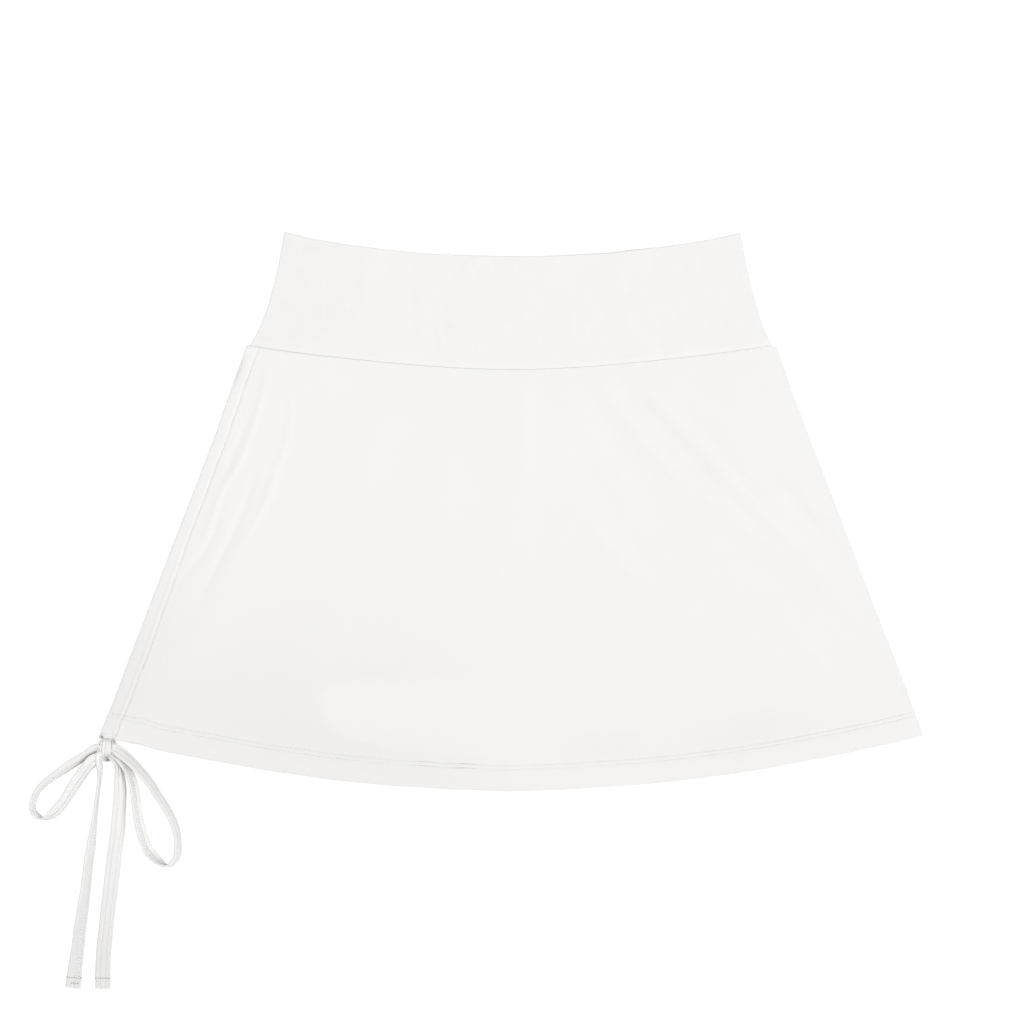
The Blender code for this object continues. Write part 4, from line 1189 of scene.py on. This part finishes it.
HEM_PITCH = 2.0
CHANNEL_PITCH = 2.1
TAPE_PITCH = 2.15
# How deep the hem's needle holes are pulled in, which sets the size of their painted shade: (x, share).
HOLE_DEPTH = ((-290, 0.9), (-180, 0.85), (-120, 0.8), (-72, 0.6), (-66, 1.3), (-56, 1.4), (-50, 0.7),
    (-43, 1.2), (-36, 1.5), (-26, 1.35), (-20, 0.7), (30, 0.75), (120, 0.85), (200, 0.95), (290, 0.9))
# The lines of thread that close the strands' ends: (stations from the end, from and to across the tape).
END_LINES = {"left": ((-10, -0.46, 0.46), (-5, -0.28, 0.16)), "right": ((-10, -0.46, 0.46),)}


def needle_rows(name, pitch, threads, holes, length, hole_size, thread, hole_shade_finish):
    """Rows of needle thread, with a dark bead between each stitch and the next: painted shade in the needle
    hole.
    """
    return stitching(name, "skirt_knit", ("threads", threads, pitch, length, 0.34, thread),
                     ("holes", holes, pitch, *hole_size, hole_shade_finish))


def hem_stitches(name, rail, *finishes):
    """The coverstitch's two rows."""
    threads, holes = [], []
    for row in HEM_STITCHES:
        along = np.linspace(2, 2 * skirt_half(row) - 3, 1200)
        x = along - skirt_half(row)
        depth = follow(HOLE_DEPTH, x) * (1 + 0.22 * ripple(x, row, 5, 31))
        threads.append(rail(along, row))
        holes.append(rail(along + HEM_PITCH / 2, row, depth))
    return needle_rows(name, HEM_PITCH, threads, holes, 1.5, (0.72, 0.62), *finishes)


def channel_stitches(name, rail, *finishes):
    """The one row beside the side seam, whose holes are deeper near the hem, so their painted shade is bigger
    there.
    """
    from_hem = np.linspace(1, SKIRT_LENGTH - 3, 300)
    after = from_hem + CHANNEL_PITCH / 2
    depth = between(1, 0.45, rise(from_hem, 50, 30)) * (1 + 0.25 * ripple(from_hem, 0, 6, 32))
    threads, holes = [rail(channel_line(from_hem), from_hem)], [rail(channel_line(after), after, depth)]
    return needle_rows(name, CHANNEL_PITCH, threads, holes, 1.6, (0.7, 0.5), *finishes)


def strand_stitches(word, run, rows, out, thread, hole_shade_finish, closing):
    """Needle thread in the two rows, looper thread across the reverse, and the lines that close the end."""
    free = run.stretch(run.along > TAPE_HIDDEN)

    def line(share, out, face=1, skip=0):
        return free.spots([share], out)[skip:, 0], free.facing(share)[skip:] * face, 1.0

    needles = [line(row, out * face, face) for row in rows for face in (1, -1)]
    holes = [line(row, out, skip=1) for row in rows]
    ladder = [line(sum(rows) / 2, -0.52, -1)]
    span = (rows[1] - rows[0]) * TAPE_WIDTH
    ends = []
    for station, first, final in END_LINES[word]:
        place = free.stretch(slice(station, station + 1))
        spread = np.linspace(first, final, 12)
        ends += [(place.spots(spread, 0.38 * face)[0], place.facing(0) * face, 1.0) for face in (1, -1)]
    return stitching(
        f"{word}_strand_stitches", "tape_knit",
        ("needle", needles, TAPE_PITCH, 1.6, 0.36, thread),
        # The holes and the beads behind the looper are painted shade: in the needle holes and under the
        # looper threads.
        ("holes", holes, TAPE_PITCH, 0.85, 0.46, hole_shade_finish),
        ("looper", ladder, TAPE_PITCH, span, 0.40, thread, math.radians(84), 0.16),
        ("looper_shade", ladder, TAPE_PITCH, span * 0.94, 0.46, hole_shade_finish, math.radians(66), 0.2),
        ("end", ends, 1.5, 1.45, 1.15, closing, 0.0, 0.3),
    )


# ---- the garment

# The hole finishes are painted shade: dark beads in the needle holes and under the looper threads.
TAPE_THREADS = (("tape_thread", (0.80, 0.795, 0.785)), ("tape_hole_shade", (0.70, 0.695, 0.685)),
    ("tape_closing", (0.52, 0.515, 0.505)))
SKIRT_THREADS = ("skirt_thread", (0.85, 0.843, 0.83)), ("skirt_hole_shade", (0.50, 0.495, 0.485))


def main():
    studio()
    tape = tape_knit()
    tape_threads = [thread_finish(*each) for each in TAPE_THREADS]
    for word in STRANDS:
        strand(word, tape, tape_threads)
    channel_tape(tape)
    knot_wrap(tape)

    skirt = skirt_knit("skirt_knit")
    band = skirt_knit("band_knit", mottle=0.014)
    inner = skirt_knit("shorts_knit", (0.880, 0.872, 0.858))
    threads = [thread_finish(*each) for each in SKIRT_THREADS]
    front, back = front_panel(skirt), back_panel(skirt)
    bands = front_band(band), back_band(band)
    legs = shorts(inner)
    casing = casing_strip(skirt)
    panels = {"front": front_rail, "back": back_rail}
    stitches = {word: [hem_stitches(word + "_hem_stitches", rail, *threads),
                       channel_stitches(word + "_channel_stitches", rail, *threads)]
                for word, rail in panels.items()}

    for leg in legs:
        size = (SHORTS_HALF_WIDTH * MM, (SEAM_Y + SEAM_DIP - LEG_HEM_Y) * MM)
        0.93 * size[0] * size[1]
    casing_size = ((casing_high[1] - casing_low[1]) * MM, CHANNEL_HEM_WIDTH * MM)
    0.75 * casing_size[0] * casing_size[1]


main()
